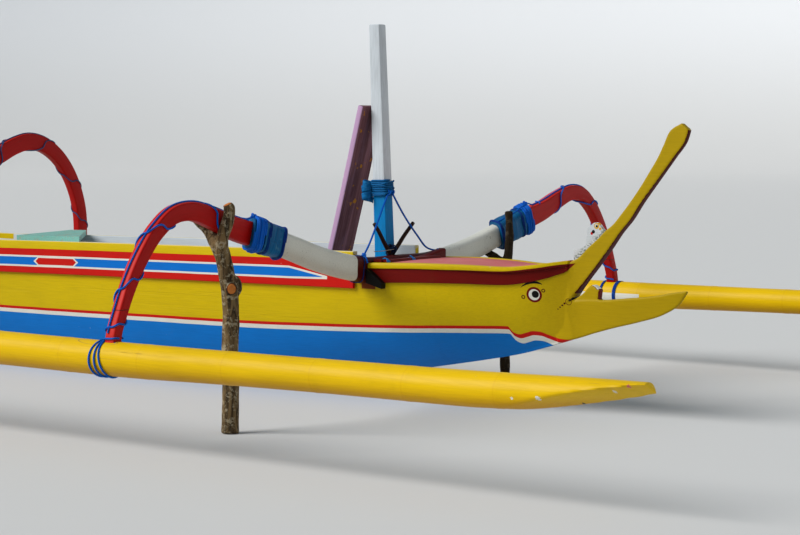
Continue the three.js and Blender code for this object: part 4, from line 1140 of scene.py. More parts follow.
def crestSheet():
    sheet = Sheet("crest_enamel")
    place = sheet.place()
    x, _, z = sheet.measures(place)
    # grey strokes along the trunk, a small eye with a dot before it, and an open beak below
    strokes = sheet.step(sheet.grain(place, (60, 1, 110), 1, 3, 0.6, 1.2), 0.5, 0.56)
    shade = 1 - sheet.step((x - 1.0) * -0.84 + (z - 0.757), 0.0, 0.034)
    discs = [(1 - sheet.step(sheet.length(x - cx, z - cz), size - 0.6 * mm, size + 0.6 * mm), paint)
             for cx, cz, size, paint in crest["discs"]]
    tone = sheet.layers(inks["coolWhite"], (strokes * shade, "sage"), *discs)
    return sheet.finish(*weathered(sheet, tone, place, 0.9, "bareWood"), depth=0.8 * mm)


def closedCurve(points, count):
    # smooth closed line through the points, each coordinate a cubic between neighbours
    laps = np.array(points * 3, float)
    return smoothPath(np.stack([laps[:, 0], laps[:, 0] * 0, laps[:, 1]], axis=-1), 3 * count)[count:2 * count]


def makeCrest():
    line = closedCurve(crest["outline"], 120)
    heading = unit(np.roll(line, -1, axis=0) - np.roll(line, 1, axis=0))
    inward = np.cross(heading, (0, 1, 0))
    turning = np.cross(line - line.mean(0), heading)[:, 1].sum()
    inward *= -1 if turning > 0 else 1
    low, high = crest["face"]
    edge = crest["edge"]
    rings = [line - inward * inset + (foreBeam, y, 0) for inset, y in
             ((edge, low), (0, low + edge / 2), (0, high - edge), (edge * 0.35, high - edge * 0.3), (edge, high))]
    shell = Shell().add(np.array(rings), flat=True)
    finishPiece("crest_carving", shell, crestSheet(), ["bow_crest"], sharp=50)


makeCrest()
print("stern piece and crest done")


# Bindings. A winding goes round a bar whose section is nearly a rectangle: middle + side . w . cos'(a)
# + over . d . sin'(a), where the primed values are the sine and cosine raised to a small power.

def roundOff(value, power):
    return np.sign(value) * np.abs(value) ** power


def along(values, share):
    # value at a share of the way down a list of numbers or points
    values = np.asarray(values, float)
    at = share * (len(values) - 1)
    if values.ndim == 1:
        return np.interp(at, np.arange(len(values)), values)
    return np.stack([np.interp(at, np.arange(len(values)), column) for column in values.T], axis=-1)


def winding(middle, over, wide, deep, side, turns, start=0.0, power=0.5, at=None, perTurn=32):
    # goes evenly down the bar, or, where shares are given, passes the first side at each of them
    share = np.linspace(0, 1, max(int(turns * perTurn), 8))
    angle = 2 * math.pi * (start + turns * share)
    if at is not None:
        share = np.clip(eased(np.arange(len(at)), at, start + turns * share), 0, 1)
    wide, deep = (np.full(2, value) if np.ndim(value) == 0 else value for value in (wide, deep))
    a = along(wide, share) / 2 * roundOff(np.cos(angle), power)
    b = along(deep, share) / 2 * roundOff(np.sin(angle), power)
    side, over = (np.broadcast_to(np.asarray(v, float), np.shape(middle)) for v in (side, over))
    return along(middle, share) + a[:, None] * along(side, share) + b[:, None] * along(over, share)


def sleeve(middle, over, wide, deep, side, pitch, ridge, power=0.5, sides=48):
    # strip wound on with each turn lapping the last: the section grows by a share of the ridge that
    # runs from 0 to 1 once in each pitch and once round
    middle = np.asarray(middle, float)
    side, over = (np.broadcast_to(np.asarray(v, float), middle.shape) for v in (side, over))
    reach = runOf(middle)[:, None]
    angle = np.linspace(0, 2 * math.pi, sides, endpoint=False)[None, :]
    lift = ridge * np.modf(reach / pitch + angle / (2 * math.pi) + 5)[0]
    lift = lift + 1.5 * mm * np.sin(reach * 61 + 2 * angle)
    wide, deep = (np.reshape(np.broadcast_to(value, (len(middle),)), (-1, 1)) for value in (wide, deep))
    a = (wide / 2 + lift) * roundOff(np.cos(angle), power)
    b = (deep / 2 + lift) * roundOff(np.sin(angle), power)
    return swept(middle, side, over, a, b), np.stack(np.broadcast_arrays(reach, angle / (2 * math.pi), lift), axis=-1)


def knot(shell, centre, size, thick, reference=(0, 0, 1)):
    # overhand knot: centre + size . ((2 + cos 3t) cos 2t, (2 + cos 3t) sin 2t, sin 3t) / 3
    t = np.linspace(0, 2 * math.pi, 60)
    around = 2 + np.cos(3 * t)
    loop = np.stack([around * np.cos(2 * t), np.sin(3 * t), around * np.sin(2 * t)], axis=-1) / 3
    return shell.add(*rope(np.asarray(centre, float) + size * loop, thick, reference=reference))


# Joints: where the rubber sleeve and the cord's core begin and end, and how far the turns lean to
# starboard for each metre ahead. Slants: start and number of turns, and the shares they run between.
# Threads: the end of the sleeve, the distance out from it, and how many times the usual thickness
joint = {
    "spans": {"fore_stbd": {"sleeve": (0.891, 1.02), "core": (1.014, 1.094), "lean": 0.5},
              "fore_port": {"sleeve": (0.772, 0.986), "core": (0.98, 1.056), "lean": 0.5},
              "aft": {"sleeve": (0.858, 0.986), "core": (0.98, 1.056), "lean": 0.0}},
    "turns": 6, "cord": 5.5 * mm, "thread": 2.4 * mm, "sleeveGrow": 14 * mm, "coreGrow": 10 * mm,
    "cordGrow": 16 * mm, "pitch": 70 * mm, "ridge": 1.2 * mm, "coreRidge": 1 * mm, "knot": 13 * mm,
    "slants": [(0.2, 1.3, 0.0, 0.75), (0.7, 1.2, 0.9, 0.2)],
    "threads": [(0, 0.004, 1.9), (0, 0.013, 1.0), (1, -0.031, 1.0), (1, -0.022, 1.0)],
}


def jointSpan(where, side):
    return joint["spans"].get(f"{where}_{side}", joint["spans"]["aft"])


def jointLine(where, hand, start, end, grow, lean=0.0):
    # middle line halfway between beam and arm, with the larger depth of the two; the side direction
    # follows the wood as it leans
    beamRows, armRows, x = crossings[where]
    out = np.linspace(start, end, 60)
    (beamZ, beamDeep), (armZ, armDeep) = ([np.interp(out, rows[:, 0], rows[:, column]) for column in (2, 3)]
                                          for rows in (beamRows, armRows))
    z = (beamZ + np.where(out < armRows[0, 0], beamZ, armZ)) / 2
    deep = np.maximum(beamDeep, armDeep)
    middle = np.stack([np.full(60, x + foreBeam), hand * out, z], axis=-1)
    over = unit(np.cross((1.0, 0, 0), unit(np.gradient(middle, axis=0)))) * hand
    rise = hand * np.gradient(z, out)
    side = np.stack([np.ones(60), np.full(60, -lean), -lean * rise], axis=-1)
    return middle, over, spars["beamWidth"] + 2 * grow, deep + 2 * grow, side


def makeJoint(where, side, hand):
    span = jointSpan(where, side)

    def lineFrom(start, end, grow):
        return jointLine(where, hand, start, end, grow, span["lean"])

    shell = Shell()
    for part in ("sleeve", "core"):
        line = lineFrom(*span[part], joint[f"{part}Grow"])
        shell.add(*sleeve(*line, joint["pitch"], joint["ridge" if part == "sleeve" else "coreRidge"]))
    finishPiece(f"joint_rubber_{where}_{side}", shell, rubberBlue, [f"{where}_wrap_{side}"])
    # the cord: close turns, then a few more that slant across them, and a knot on top
    cords = Shell()
    begin, end = span["core"][0] + 0.011, span["core"][1] - 0.005
    middle, over, _, deep, _ = line = lineFrom(begin, end, joint["cordGrow"])
    cords.add(*rope(winding(*line, joint["turns"]), joint["cord"], reference=(0, 1, 0)))
    for start, turns, low, high in joint["slants"]:
        slant = lineFrom(begin + (end - begin) * low, begin + (end - begin) * high, joint["cordGrow"] + 4 * mm)
        cords.add(*rope(winding(*slant, turns, start), joint["cord"], reference=(0, 1, 0)))
    onTop = middle[-6] + over[-6] * (deep[-6] / 2 + 6 * mm)
    knot(cords, onTop, joint["knot"], joint["cord"] * 0.8, (0, 1, 0))
    finishPiece(f"joint_cord_{where}_{side}", cords, cordPaints[where])
    threads = Shell()
    for end, offset, thick in joint["threads"]:
        out = span["sleeve"][end] + offset
        line = lineFrom(out, out + 6 * mm, joint["sleeveGrow"] + 3 * mm)
        threads.add(*rope(winding(*line, 1.06), joint["thread"] * thick, 6, (0, 1, 0)))
    finishPiece(f"joint_thread_{where}_{side}", threads, cordNavy)


rubberBlue = rubberSheet()
cordPaints = {"fore": ropeSheet("cord_blue", inks["ropeBlue"]), "aft": ropeSheet("cord_grey", inks["slate"])}
cordNavy = ropeSheet("cord_navy", inks["deepNavy"])
for sideName, hand in hands:
    makeJoint("fore", sideName, hand)
    makeJoint("aft", sideName, hand)
print("joints done")


# Cord wound loosely down each arm, the straight cord along its outer face, and what holds its foot to
# the float: cord loops, or two broad straps at the fore port foot
lashing = {
    "cord": 4 * mm, "from": 1.062, "straight": (0.004, 0.008, 0.006, -0.002, -0.01), "ringFrom": 0.955,
    "marks": {"fore": [(1.105, 0.826), (1.325, 0.895), (1.64, 0.876), (1.79, 0.67), (1.878, 0.5),
                       (1.9, 0.44)],
              "aft": [(1.075, 1.045), (1.2, 1.098), (1.56, 1.15), (1.85, 0.93), (1.912, 0.65),
                      (1.905, 0.44)]},
    "loops": [(-0.045, -0.064, -0.05), (-0.035, -0.035, -0.03), (-0.03, -0.008, 0.004)],
    "straps": [(-0.036, 14 * mm), (0.048, 20 * mm)], "power": 0.42,
}


def floatLoop(x, radius, hand, leads=(0.0, 0.0, 0.0), count=72):
    # ring round a float; its leads are how far ahead of x it lies at the top, the outer side and the bottom
    angle = np.linspace(0, 2 * math.pi, count)
    top, outer, bottom = leads
    middle = (top + bottom) / 2
    ahead = middle + (outer - middle) * np.cos(angle) + (top - bottom) / 2 * np.sin(angle)
    centre = np.array([foreBeam + x, hand * spars["floatOut"], float(eased(floatRows[:, 0], floatRows[:, 1], x))])
    outward = np.stack([0 * angle, hand * np.cos(angle), np.sin(angle)], axis=-1)
    return centre + radius * outward + ahead[:, None] * (1, 0, 0), outward


def makeLashings(where, side, hand):
    rows, x = crossings[where][1:]
    cord, power = lashing["cord"], lashing["power"]
    span = jointSpan(where, side)
    middle, over, deep = barLine(rows, hand, x, 160, max(lashing["from"], span["core"][1] + 6 * mm))
    seat = np.stack([np.abs(middle[:, 1]), middle[:, 2]], axis=-1)
    marks = lashing["marks"][where]
    at = [np.argmin(np.linalg.norm(seat - mark, axis=1)) / (len(middle) - 1) for mark in marks]
    wide = spars["armWidth"][where] + 2 * cord
    turning = winding(middle, over, wide, deep + 2 * cord, (1, 0, 0), len(marks) - 1.3, 0.15, power, at, 44)
    cords = Shell().add(*rope(turning, cord, reference=(0, 1, 0.3)))
    # straight cord: over the joint, then down the arm's outer face
    parts = [(span["sleeve"][0] + 0.014, span["core"][0] - 0.008, joint["sleeveGrow"] + 2 * mm),
             (span["core"][0] + 0.014, span["core"][1] - 0.006, joint["cordGrow"] + 9 * mm)]
    lines = [jointLine(where, hand, *part) for part in parts]
    start = np.concatenate([(line[0] + line[1] * line[3][:, None] / 2 + (0.016, 0, 0))[::12] for line in lines])
    offset = np.interp(np.linspace(0, 1, 160), np.linspace(0, 1, len(lashing["straight"])), lashing["straight"])
    outer = middle + over * (deep[:, None] / 2 + cord) + offset[:, None] * np.array([1, 0, 0])
    cords.add(*rope(smoothPath(np.concatenate([start, outer[6:-9:4]]), 220), cord * 0.9, reference=(1, 0, 0)))
    # one turn round the arm's foot, save where the straps are
    foot = int(lashing["ringFrom"] * len(middle))
    if where == "aft" or hand < 0:
        part = slice(foot, foot + 4)
        ring = winding(middle[part], over[part], wide, deep[part] + 2 * cord, (1, 0, 0), 1.1, power=power)
        cords.add(*rope(ring, cord, reference=(0, 1, 0.3)))
    radius = float(eased(floatRows[:, 0], floatRows[:, 2], x))
    if where == "fore" and hand > 0:
        straps = Shell()
        for offset, broad in lashing["straps"]:
            straps.add(*strip(*floatLoop(x + offset, radius + 2 * mm, hand), broad, 3 * mm))
        finishPiece("float_straps", straps, clothSheet("strap_blue", "deepNavy"))
    else:
        for places in lashing["loops"]:
            cords.add(*rope(floatLoop(x, radius + cord, hand, places)[0], cord, reference=(1, 0, 0)))
    finishPiece(f"arm_cord_{where}_{side}", cords, cordPaints[where])


def clothSheet(name, colour):
    # woven strip: fine crossing threads, faded in patches
    sheet = Sheet(name)
    flow = sheet.flow()
    run, across, _ = sheet.split(flow)
    threads = (run * 3600).sine() * (across * 3600).sine()
    creases = sheet.grain(flow, (22, 150, 1))
    faded = sheet.step(sheet.noise(flow, 40), 0.5, 0.8) * 0.25
    # the creases are painted navy: painted shade in them
    tone = sheet.layers(inks[colour], (sheet.step(creases, 0.35, 0.7) * 0.45, "navy"), (faded, "sky"))
    return sheet.finish(tone, 0.82, threads * 0.1 + creases, depth=1.5 * mm)


for sideName, hand in hands:
    makeLashings("fore", sideName, hand)
    makeLashings("aft", sideName, hand)
print("lashings done")


# Mast with its binding and cloth tie, the board leaning on it, and the sticks at its foot. Binding: heights
# it runs between, turns, start, and how far out it lies; tie: heights, start and reach
mast = {"x": -0.121, "at": 0.9, "rake": math.radians(2.3), "foot": 0.192, "top": 1.75, "long": (0.077, 0.058),
        "wide": (0.068, 0.053), "paintTo": 1.02, "cord": 4.5 * mm, "tieAt": np.array([0.06, 0.04, 0]),
        "binding": [(0.956, 1.024, 7, 0.0, 0), (1.018, 0.955, 1.6, 0.3, 0.006), (0.952, 1.02, 1.4, 0.7, 0.006)],
        "tie": [(0.928, 1.012, 0.1, 0.04), (1.01, 0.94, 0.6, 0.03)], "tieWide": 0.03}
plank = {"x": -0.4, "at": 0.688, "lean": math.radians(15.8), "width": 0.165, "thick": 0.028, "foot": 0.186,
         "top": 1.374, "bow": 0.006 * np.array([0.3, 1, 0]), "wear": 0.02, "wearSize": 0.09}


def mastAt(z):
    # point on the mast's middle line at height z
    z = np.asarray(z, float)
    x = foreBeam + mast["x"] - (z - mast["at"]) * math.tan(mast["rake"])
    return np.stack([x, np.zeros_like(z), z], axis=-1)


def mastSheet():
    sheet = Sheet("mast_enamel")
    place = sheet.place()
    z = sheet.split(place)[2]
    edge = mast["paintTo"] + (sheet.noise(place, 30, 2) - 0.5) * 12 * mm
    tone = sheet.layers(inks["mastBlue"], (sheet.above(z - edge, 1 * mm), "coolWhite"))
    upright = sheet.turned(place, "Y_AXIS", 90)
    return sheet.finish(*weathered(sheet, tone, upright, 1.0, "bareWood"), depth=0.9 * mm)


def makeMast():
    z = np.linspace(mast["foot"], mast["top"], 40)
    share = (z - mast["foot"]) / (mast["top"] - mast["foot"])
    length, width = (np.interp(share, (0, 1), mast[key]) for key in ("long", "wide"))
    spar = bar(mastAt(z), (1, 0, 0), (0, 1, 0), length, width, 3 * mm, ends=4 * mm)
    finishPiece("mast_spar", Shell().add(*spar), mastSheet(), ["mast"])
    # binding: close turns with a few that slant across them, a little further out
    cords = Shell()
    for low, high, turns, start, out in mast["binding"]:
        middle = mastAt(np.linspace(low, high, 10))
        turning = winding(middle, (0, 1, 0), 0.083 + out, 0.074 + out, (1, 0, 0), turns, start, 0.36)
        cords.add(*rope(turning, mast["cord"]))
    knot(cords, mastAt(0.972) + (0.045, -0.006, 0), 11 * mm, mast["cord"], (1, 0, 0))
    finishPiece("mast_binding", cords, ropeSheet("cord_teal", inks["teal"]))
    # crumpled strip of cloth stuffed behind the mast
    tie = Shell()
    for low, high, start, reach in mast["tie"]:
        middle = mastAt(np.linspace(low, high, 8)) - mast["tieAt"]
        path = winding(middle, (0, 1, 0), reach, reach * 1.5, (1, 0, 0), 2.4, start, 0.9)
        tie.add(*strip(path, path - mastAt(path[:, 2]) + mast["tieAt"], mast["tieWide"], 4 * mm))
    finishPiece("mast_tie", tie, clothSheet("tie_cloth", "teal"))


makeMast()


def plankSheet():
    sheet = Sheet("plank_wood")
    vector = sheet.flow()
    across = sheet.split(vector)[1]
    lines = sheet.grain(vector, (1.4, 40, 40), 1, 5, 0.6, 0.5)
    # of the old lilac coat only traces are left on the face, and more along the edge
    old = sheet.step(sheet.grain(vector, (2, 14, 14), 1.5, 4, 0.7), 0.5, 0.64)
    spots = sheet.step(sheet.noise(vector, 24), 0.64, 0.68)
    edge = 1 - sheet.step(across, 2.5 * mm - plank["width"] / 2, 4 * mm - plank["width"] / 2)
    tone = sheet.layers(inks["plumWood"], (sheet.step(lines, 0.3, 0.7), "plumDark"), (old * 0.08, "lilac"),
                        (spots * 0.8, "amber"), (edge * 0.85, "lilac"))
    return sheet.finish(tone, 0.7 + lines * 0.2, lines - old * 0.3 - spots * 0.4, depth=1.2 * mm)


def makePlank():
    # the plank's line is bent a little, its face lies against the mast and its edges are worn in
    face = np.array([math.cos(plank["lean"]), 0, -math.sin(plank["lean"])])
    z = np.array([plank["foot"], plank["top"]])
    x = foreBeam + plank["x"] + (z - plank["at"]) * math.tan(plank["lean"])
    foot, head = np.stack([x, 0 * z, z], axis=-1) + face * plank["thick"] / 2
    share = np.linspace(0, 1, 50)[:, None]
    middle = (1 - share) * foot + share * head + np.sin(math.pi * share) * plank["bow"]
    grid, flow = bar(middle, (0, 1, 0), face, plank["width"], plank["thick"], 4 * mm, ends=2 * mm)
    grid[..., 1] *= 1 - plank["wear"] * np.abs(lumps(flow * (1, 0, 1), plank["wearSize"], 2))
    finishPiece("leaning_board", Shell().add(grid, flow), plankSheet(), ["leaning_plank"])


makePlank()

sticks = {"foot": (-0.052, -0.032, 0.652), "heads": [(-0.054, -0.155, 0.826), (-0.05, 0.138, 0.82)],
          "radius": (0.011, 0.009), "cross": 0.7, "apart": np.array([0.006, 0.012, 0]), "wobble": 1.5 * mm,
          "string": [(-0.03, -0.034, 0.704), (-0.042, -0.09, 0.699), (-0.05, -0.164, 0.698)]}


def stickSheet():
    # bare stick: long wavering growth lines, fine pores and dirt
    sheet = Sheet("stick_wood")
    vector = sheet.flow()
    lines = sheet.grain(vector, (1.2, 34, 34), 1, 5, 0.6, 0.4)
    pores = sheet.grain(vector, (12, 420, 420), 1, 2)
    dirt = sheet.step(sheet.noise(vector, 9, 4), 0.5, 0.8) * 0.3
    tone = sheet.layers(inks["black"], (sheet.step(lines, 0.32, 0.68), "stickBrown"), (dirt, "grime"))
    return sheet.finish(tone, 0.74 + pores * 0.16, lines + pores * 0.5, depth=0.9 * mm)


def makeSticks():
    shell = Shell()
    foot = np.array(sticks["foot"]) + (foreBeam, 0, 0)
    share = np.linspace(0, 1, 24)[:, None]
    for head, lean in zip(sticks["heads"], (1, -1)):
        top = np.array(head) + (foreBeam, 0, 0)
        wobble = sticks["wobble"] * np.sin(share * 9 + lean) * np.array([1, 0.6, 0])
        path = foot + share * (top - foot) + sticks["apart"] * lean * (1 - share) + wobble * share
        shell.add(*rope(path, np.linspace(*sticks["radius"], 24), 12, (1, 0, 0)))
    finishPiece("crossed_sticks", shell, stickSheet(), ["crotch_sticks"])
    centre = foot + (0, 0, sticks["cross"] - foot[2])
    cords = Shell()
    for start in (0.0, 0.25):
        middle = centre + np.linspace(-1, 1, 8)[:, None] * (0, 0.012, 0.012 - 0.024 * (start > 0))
        turns = winding(middle, (0, 0.7, 0.7), 0.038, 0.038, (1, 0, 0), 4, start, 1.0)
        cords.add(*rope(turns, 3 * mm, reference=(0, 1, 0)))
    knot(cords, centre + (0.024, 0, 0.004), 10 * mm, 3 * mm, (1, 0, 0))
    finishPiece("stick_lashing", cords, ropeSheet("cord_black", inks["black"], 12 * mm))
    string = rope(smoothPath(np.array(sticks["string"]) + (foreBeam, 0, 0), 24), 1.8 * mm, 6, (1, 0, 0))
    finishPiece("stick_string", Shell().add(*string), ropeSheet("string", inks["string"], 12 * mm))


makeSticks()

stays = {"cord": 4.5 * mm, "turn": 2.6 * mm, "turnOut": (0.316, 0.332),
         "stbd": [(-0.08, -0.012, 0.967), (-0.062, -0.078, 0.902), (-0.04, -0.158, 0.82),
                  (-0.014, -0.25, 0.732), (-0.002, -0.303, 0.688)],
         "port": [(-0.08, 0.012, 0.967), (-0.05, 0.068, 0.858), (-0.02, 0.132, 0.762),
                  (0.004, 0.178, 0.702), (0.03, 0.232, 0.684)],
         "tail": np.array([(0, 0, 0), (0.014, -0.004, -0.004), (0.022, -0.006, -0.016), (0.025, -0.004, -0.032)])}


def makeStays():
    for sideName, hand in hands:
        route = np.array(stays[sideName]) + (foreBeam, 0, 0)
        shell = Shell().add(*rope(smoothPath(route, 40), stays["cord"], reference=(1, 0, 0)))
        knot(shell, route[0], 13 * mm, stays["cord"], (1, 0, 0))
        knot(shell, route[-1], 10 * mm, stays["cord"])
        if hand < 0:
            # the end hangs down the face of the beam, and a thin turn goes round the beam beside the knot
            shell.add(*rope(smoothPath(route[-1] + stays["tail"], 16), stays["cord"] * 0.9, reference=(0, 1, 0)))
            middle, over, deep = barLine(foreBeamRows, hand, 0, 12, *stays["turnOut"])
            ring = winding(middle, over, spars["beamWidth"] + 6 * mm, deep + 6 * mm, (1, 0, 0), 1.05, 0.25)
            turn = Shell().add(*rope(ring, stays["turn"], reference=(0, 1, 0)))
            finishPiece("beam_turn", turn, ropeSheet("cord_dark", inks["navy"]))
        finishPiece(f"stay_{sideName}", shell, cordPaints["fore"], [f"mast_stay_{sideName}"])


makeStays()
print("mast group done")


# Board along the front of the fore beam, with the straps that hold it, and the wedges under the beam
frontBoard = {
    "aft": 0.017, "fore": 0.06, "foot": float(capTop(0.06)) - hull["cap"],
    "rows": np.array([(-.254, .672), (-.07, .664), (0, .663), (.125, .673), (.22, .693), (.254, .698)]),
    "straps": [-0.194, 0.0], "strapWide": 0.024, "strapSlant": -0.79,
    "batten": (-0.24, 0.17), "battenFore": 0.09, "battenHigh": 0.012, "deckUp": 0.025,
}


def makeCrossBoard(name, y, outline, sheet, replaces=()):
    # section, given ahead and up, carried across the hull
    grid = carried([(x, y, z) for x, z in outline])
    finishPiece(name, Shell().add(grid, grid[..., [1, 2, 0]]), sheet, replaces)


def makeFrontBoard():
    # board on edge under a bent top edge
    spec = frontBoard
    y = np.linspace(spec["rows"][0, 0], spec["rows"][-1, 0], 60)[:, None]
    top = eased(spec["rows"][:, 0], spec["rows"][:, 1], y)
    foot, aft, fore = spec["foot"], spec["aft"], spec["fore"]
    outline = [(aft + 0.002, foot), (fore - 0.002, foot), (fore, foot + 0.002), (fore, top - 0.009),
               (fore - 0.003, top - 0.003), (fore - 0.009, top), (aft + 0.005, top), (aft, top - 0.004),
               (aft, foot + 0.002)]
    paint = paintSheet("board_enamel", "darkRed", 1.4, "bareWood")
    makeCrossBoard("front_board", y, outline, paint, ["beam_board"])
    # a flat batten lies on the deck against the board's foot
    y = np.linspace(*spec["batten"], 30)[:, None]
    foot, aft, fore = spec["foot"] + spec["deckUp"] + 0.2 * mm, spec["fore"] + gap, spec["battenFore"]
    top = foot + spec["battenHigh"]
    outline = [(aft, foot), (fore, foot), (fore, top - 0.003), (fore - 0.001, top - 0.001), (fore - 0.003, top),
               (aft, top)]
    makeCrossBoard("deck_batten", y, outline, paintSheet("batten_enamel", "darkRed", 1.2, "bareWood"))
    # straps go over the board and the batten down to the deck
    straps = Shell()
    for place in spec["straps"]:
        height = float(eased(spec["rows"][:, 0], spec["rows"][:, 1], place))
        low = spec["foot"] + spec["deckUp"] + spec["battenHigh"]
        profile = [(0.034, height - 0.001), (0.042, height + 0.002), (0.054, height + 0.002),
                   (0.0615, height - 0.002), (0.065, max(height - 0.008, low + 0.003)), (0.072, low + 0.0015),
                   (0.083, low + 0.0015), (0.0915, low - 0.003), (0.0935, low - 0.012)]
        slant, start = spec["strapSlant"], profile[0][0]
        route = smoothPath([(foreBeam + x, place + slant * (x - start), z) for x, z in profile], 50)
        outward = unit(route - (foreBeam + 0.038, 0, 0.63)) * (1, 0, 1)
        straps.add(*strip(route, outward, spec["strapWide"], 3 * mm))
    finishPiece("board_straps", straps, clothSheet("strap_cloth", "strapBlue"))


makeFrontBoard()


def dressNode(name, sheet):
    # a plain solid kept as it is, with a small edge rounding and its finish
    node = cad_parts[name]
    node.data.materials.clear()
    node.data.materials.append(sheet.material)
    rounding = node.modifiers.new("edge", "BEVEL")
    rounding.width = 2.5 * mm
    rounding.segments = 2
    rounding.limit_method = "ANGLE"
    rounding.angle_limit = math.radians(30)


def seatSheet():
    # turquoise paint worn through to grey wood along the grain, which runs across the hull
    sheet = Sheet("seat_enamel")
    turned = sheet.turned(sheet.place(), "Z_AXIS", 75)
    worn = sheet.step(sheet.grain(turned, (2, 16, 16), 2, 5, 0.7), 0.56, 0.61)
    lines = sheet.grain(turned, (2, 60, 60), 1.5, 4)
    wood = sheet.mix(lines, inks["bareWood"], inks["string"])
    tone = sheet.layers(inks["turquoise"], (worn * 0.6, wood))
    colour, rough, height = weathered(sheet, tone, turned, 1.0, "string")
    return sheet.finish(colour, rough + worn * 0.15, height + lines - worn, depth=0.8 * mm)


def rawSheet():
    sheet = Sheet("raw_wood")
    place = sheet.place()
    lines = sheet.grain(place, (1.4, 40, 40), 1, 5, 0.6, 0.5)
    dirt = sheet.step(sheet.noise(place, 8, 4), 0.45, 0.75) * 0.4
    tone = sheet.layers(inks["darkBark"], (sheet.step(lines, 0.3, 0.7), "bareWood"), (dirt, "grime"))
    return sheet.finish(tone, 0.75 + lines * 0.15, lines, depth=1 * mm)


# the chocks under the fore beam are black: partly their own paint, partly a painted shadow under the beam
chockBlackAndShade = paintSheet("chock_enamel_and_shade", "black", 0.9, "bareWood", Sheet.place)
thwartWhite = paintSheet("thwart_white", "white", 1.2, "bareWood", Sheet.crosswise)
thwartYellow = paintSheet("thwart_yellow", "yellow", 1.2, "bareWood", Sheet.crosswise)
plainNodes = [
    (chockBlackAndShade, ("beam_chock_port", "beam_chock_stbd")), (thwartYellow, ("thwart_aft",)),
    (thwartWhite, ("mast_partner", "thwart_fore", "thwart_mid")), (rawSheet(), ("mast_step", "sole_board")),
    (seatSheet(), ("seat_board",)),
]
for plainPaint, names in plainNodes:
    for name in names:
        dressNode(name, plainPaint)
print("boards done")


# Forked props: points as ahead of the beam, out, up, radius; the sawn ends show bare wood
nearProp = {
    "stem": [(.05, -1.276, 0, .038), (.049, -1.274, .02, .037), (.048, -1.272, .3, .035),
             (.04, -1.268, .61, .035), (.033, -1.284, .7, .035), (.024, -1.296, .762, .035)],
    "prongs": [[(.026, -1.296, .748, .032), (.044, -1.306, .827, .025), (.056, -1.292, .875, .026),
                (.06, -1.284, .92, .025), (.06, -1.287, .938, .025), (.057, -1.294, .955, .02)],
               [(.022, -1.296, .748, .032), (-.014, -1.294, .797, .027), (-.054, -1.29, .845, .024),
                (-.078, -1.33, .888, .021), (-.088, -1.366, .92, .018)],
               [(.044, -1.262, .602, .032), (.066, -1.284, .604, .026), (.079, -1.294, .605, .0215)]],
    "knots": [(.058, -1.3, .33, .018), (.047, -1.238, .612, .03), (.035, -1.235, .18, .016)], "sawn": 3,
}
farProp = {
    "stem": [(.088, .726, 0, .026), (.087, .726, .02, .025), (.084, .722, .3, .024), (.088, .718, .52, .025),
             (.094, .717, .6, .027)],
    "prongs": [[(.095, .718, .585, .026), (.106, .724, .66, .022), (.107, .728, .76, .02),
                (.104, .726, .858, .02)],
               [(.09, .716, .59, .024), (.04, .712, .625, .021), (-.012, .709, .653, .019),
                (-.062, .701, .688, .017), (-.074, .7, .712, .015)]],
    "knots": [(.07, .7, .25, .014), (.06, .732, .45, .014)], "sawn": 0,
}
# the bark's lumps are given by size, seed and share
barkLook = {"voxel": 6 * mm, "rough": 2.6 * mm, "cutReach": 7 * mm, "plates": (0.016, 4, 0.6),
            "swells": (0.05, 9, 0.9)}


def barkSheet(name, bark, mottle):
    sheet = Sheet(name)
    place = sheet.place()
    ridges = sheet.grain(place, (38, 38, 7), 1, 5, 0.65, 1.0)
    pale = sheet.step(sheet.noise(place, 42, 5, 0.7, 0.6), 0.52, 0.6)
    fine = sheet.noise(place, 160)
    rings = sheet.mix(sheet.noise(place, 60, 2, 0.5) * 0.6, inks["cutWood"], inks["rimBrown"])
    cut = sheet.value("cut")
    tone = sheet.layers(
        inks["darkBark"], (sheet.step(ridges, 0.36, 0.62), bark), (pale * mottle, "mottle"),
        (sheet.step(fine, 0.55, 0.75) * 0.3, "darkBark"), (sheet.above(cut, 0.03), "rimBrown"),
        (sheet.step(cut, 0.14, 0.2), rings))
    return sheet.finish(tone, 0.82 + fine * 0.12, ridges + pale * 0.2 + fine * 0.2, depth=2.2 * mm)


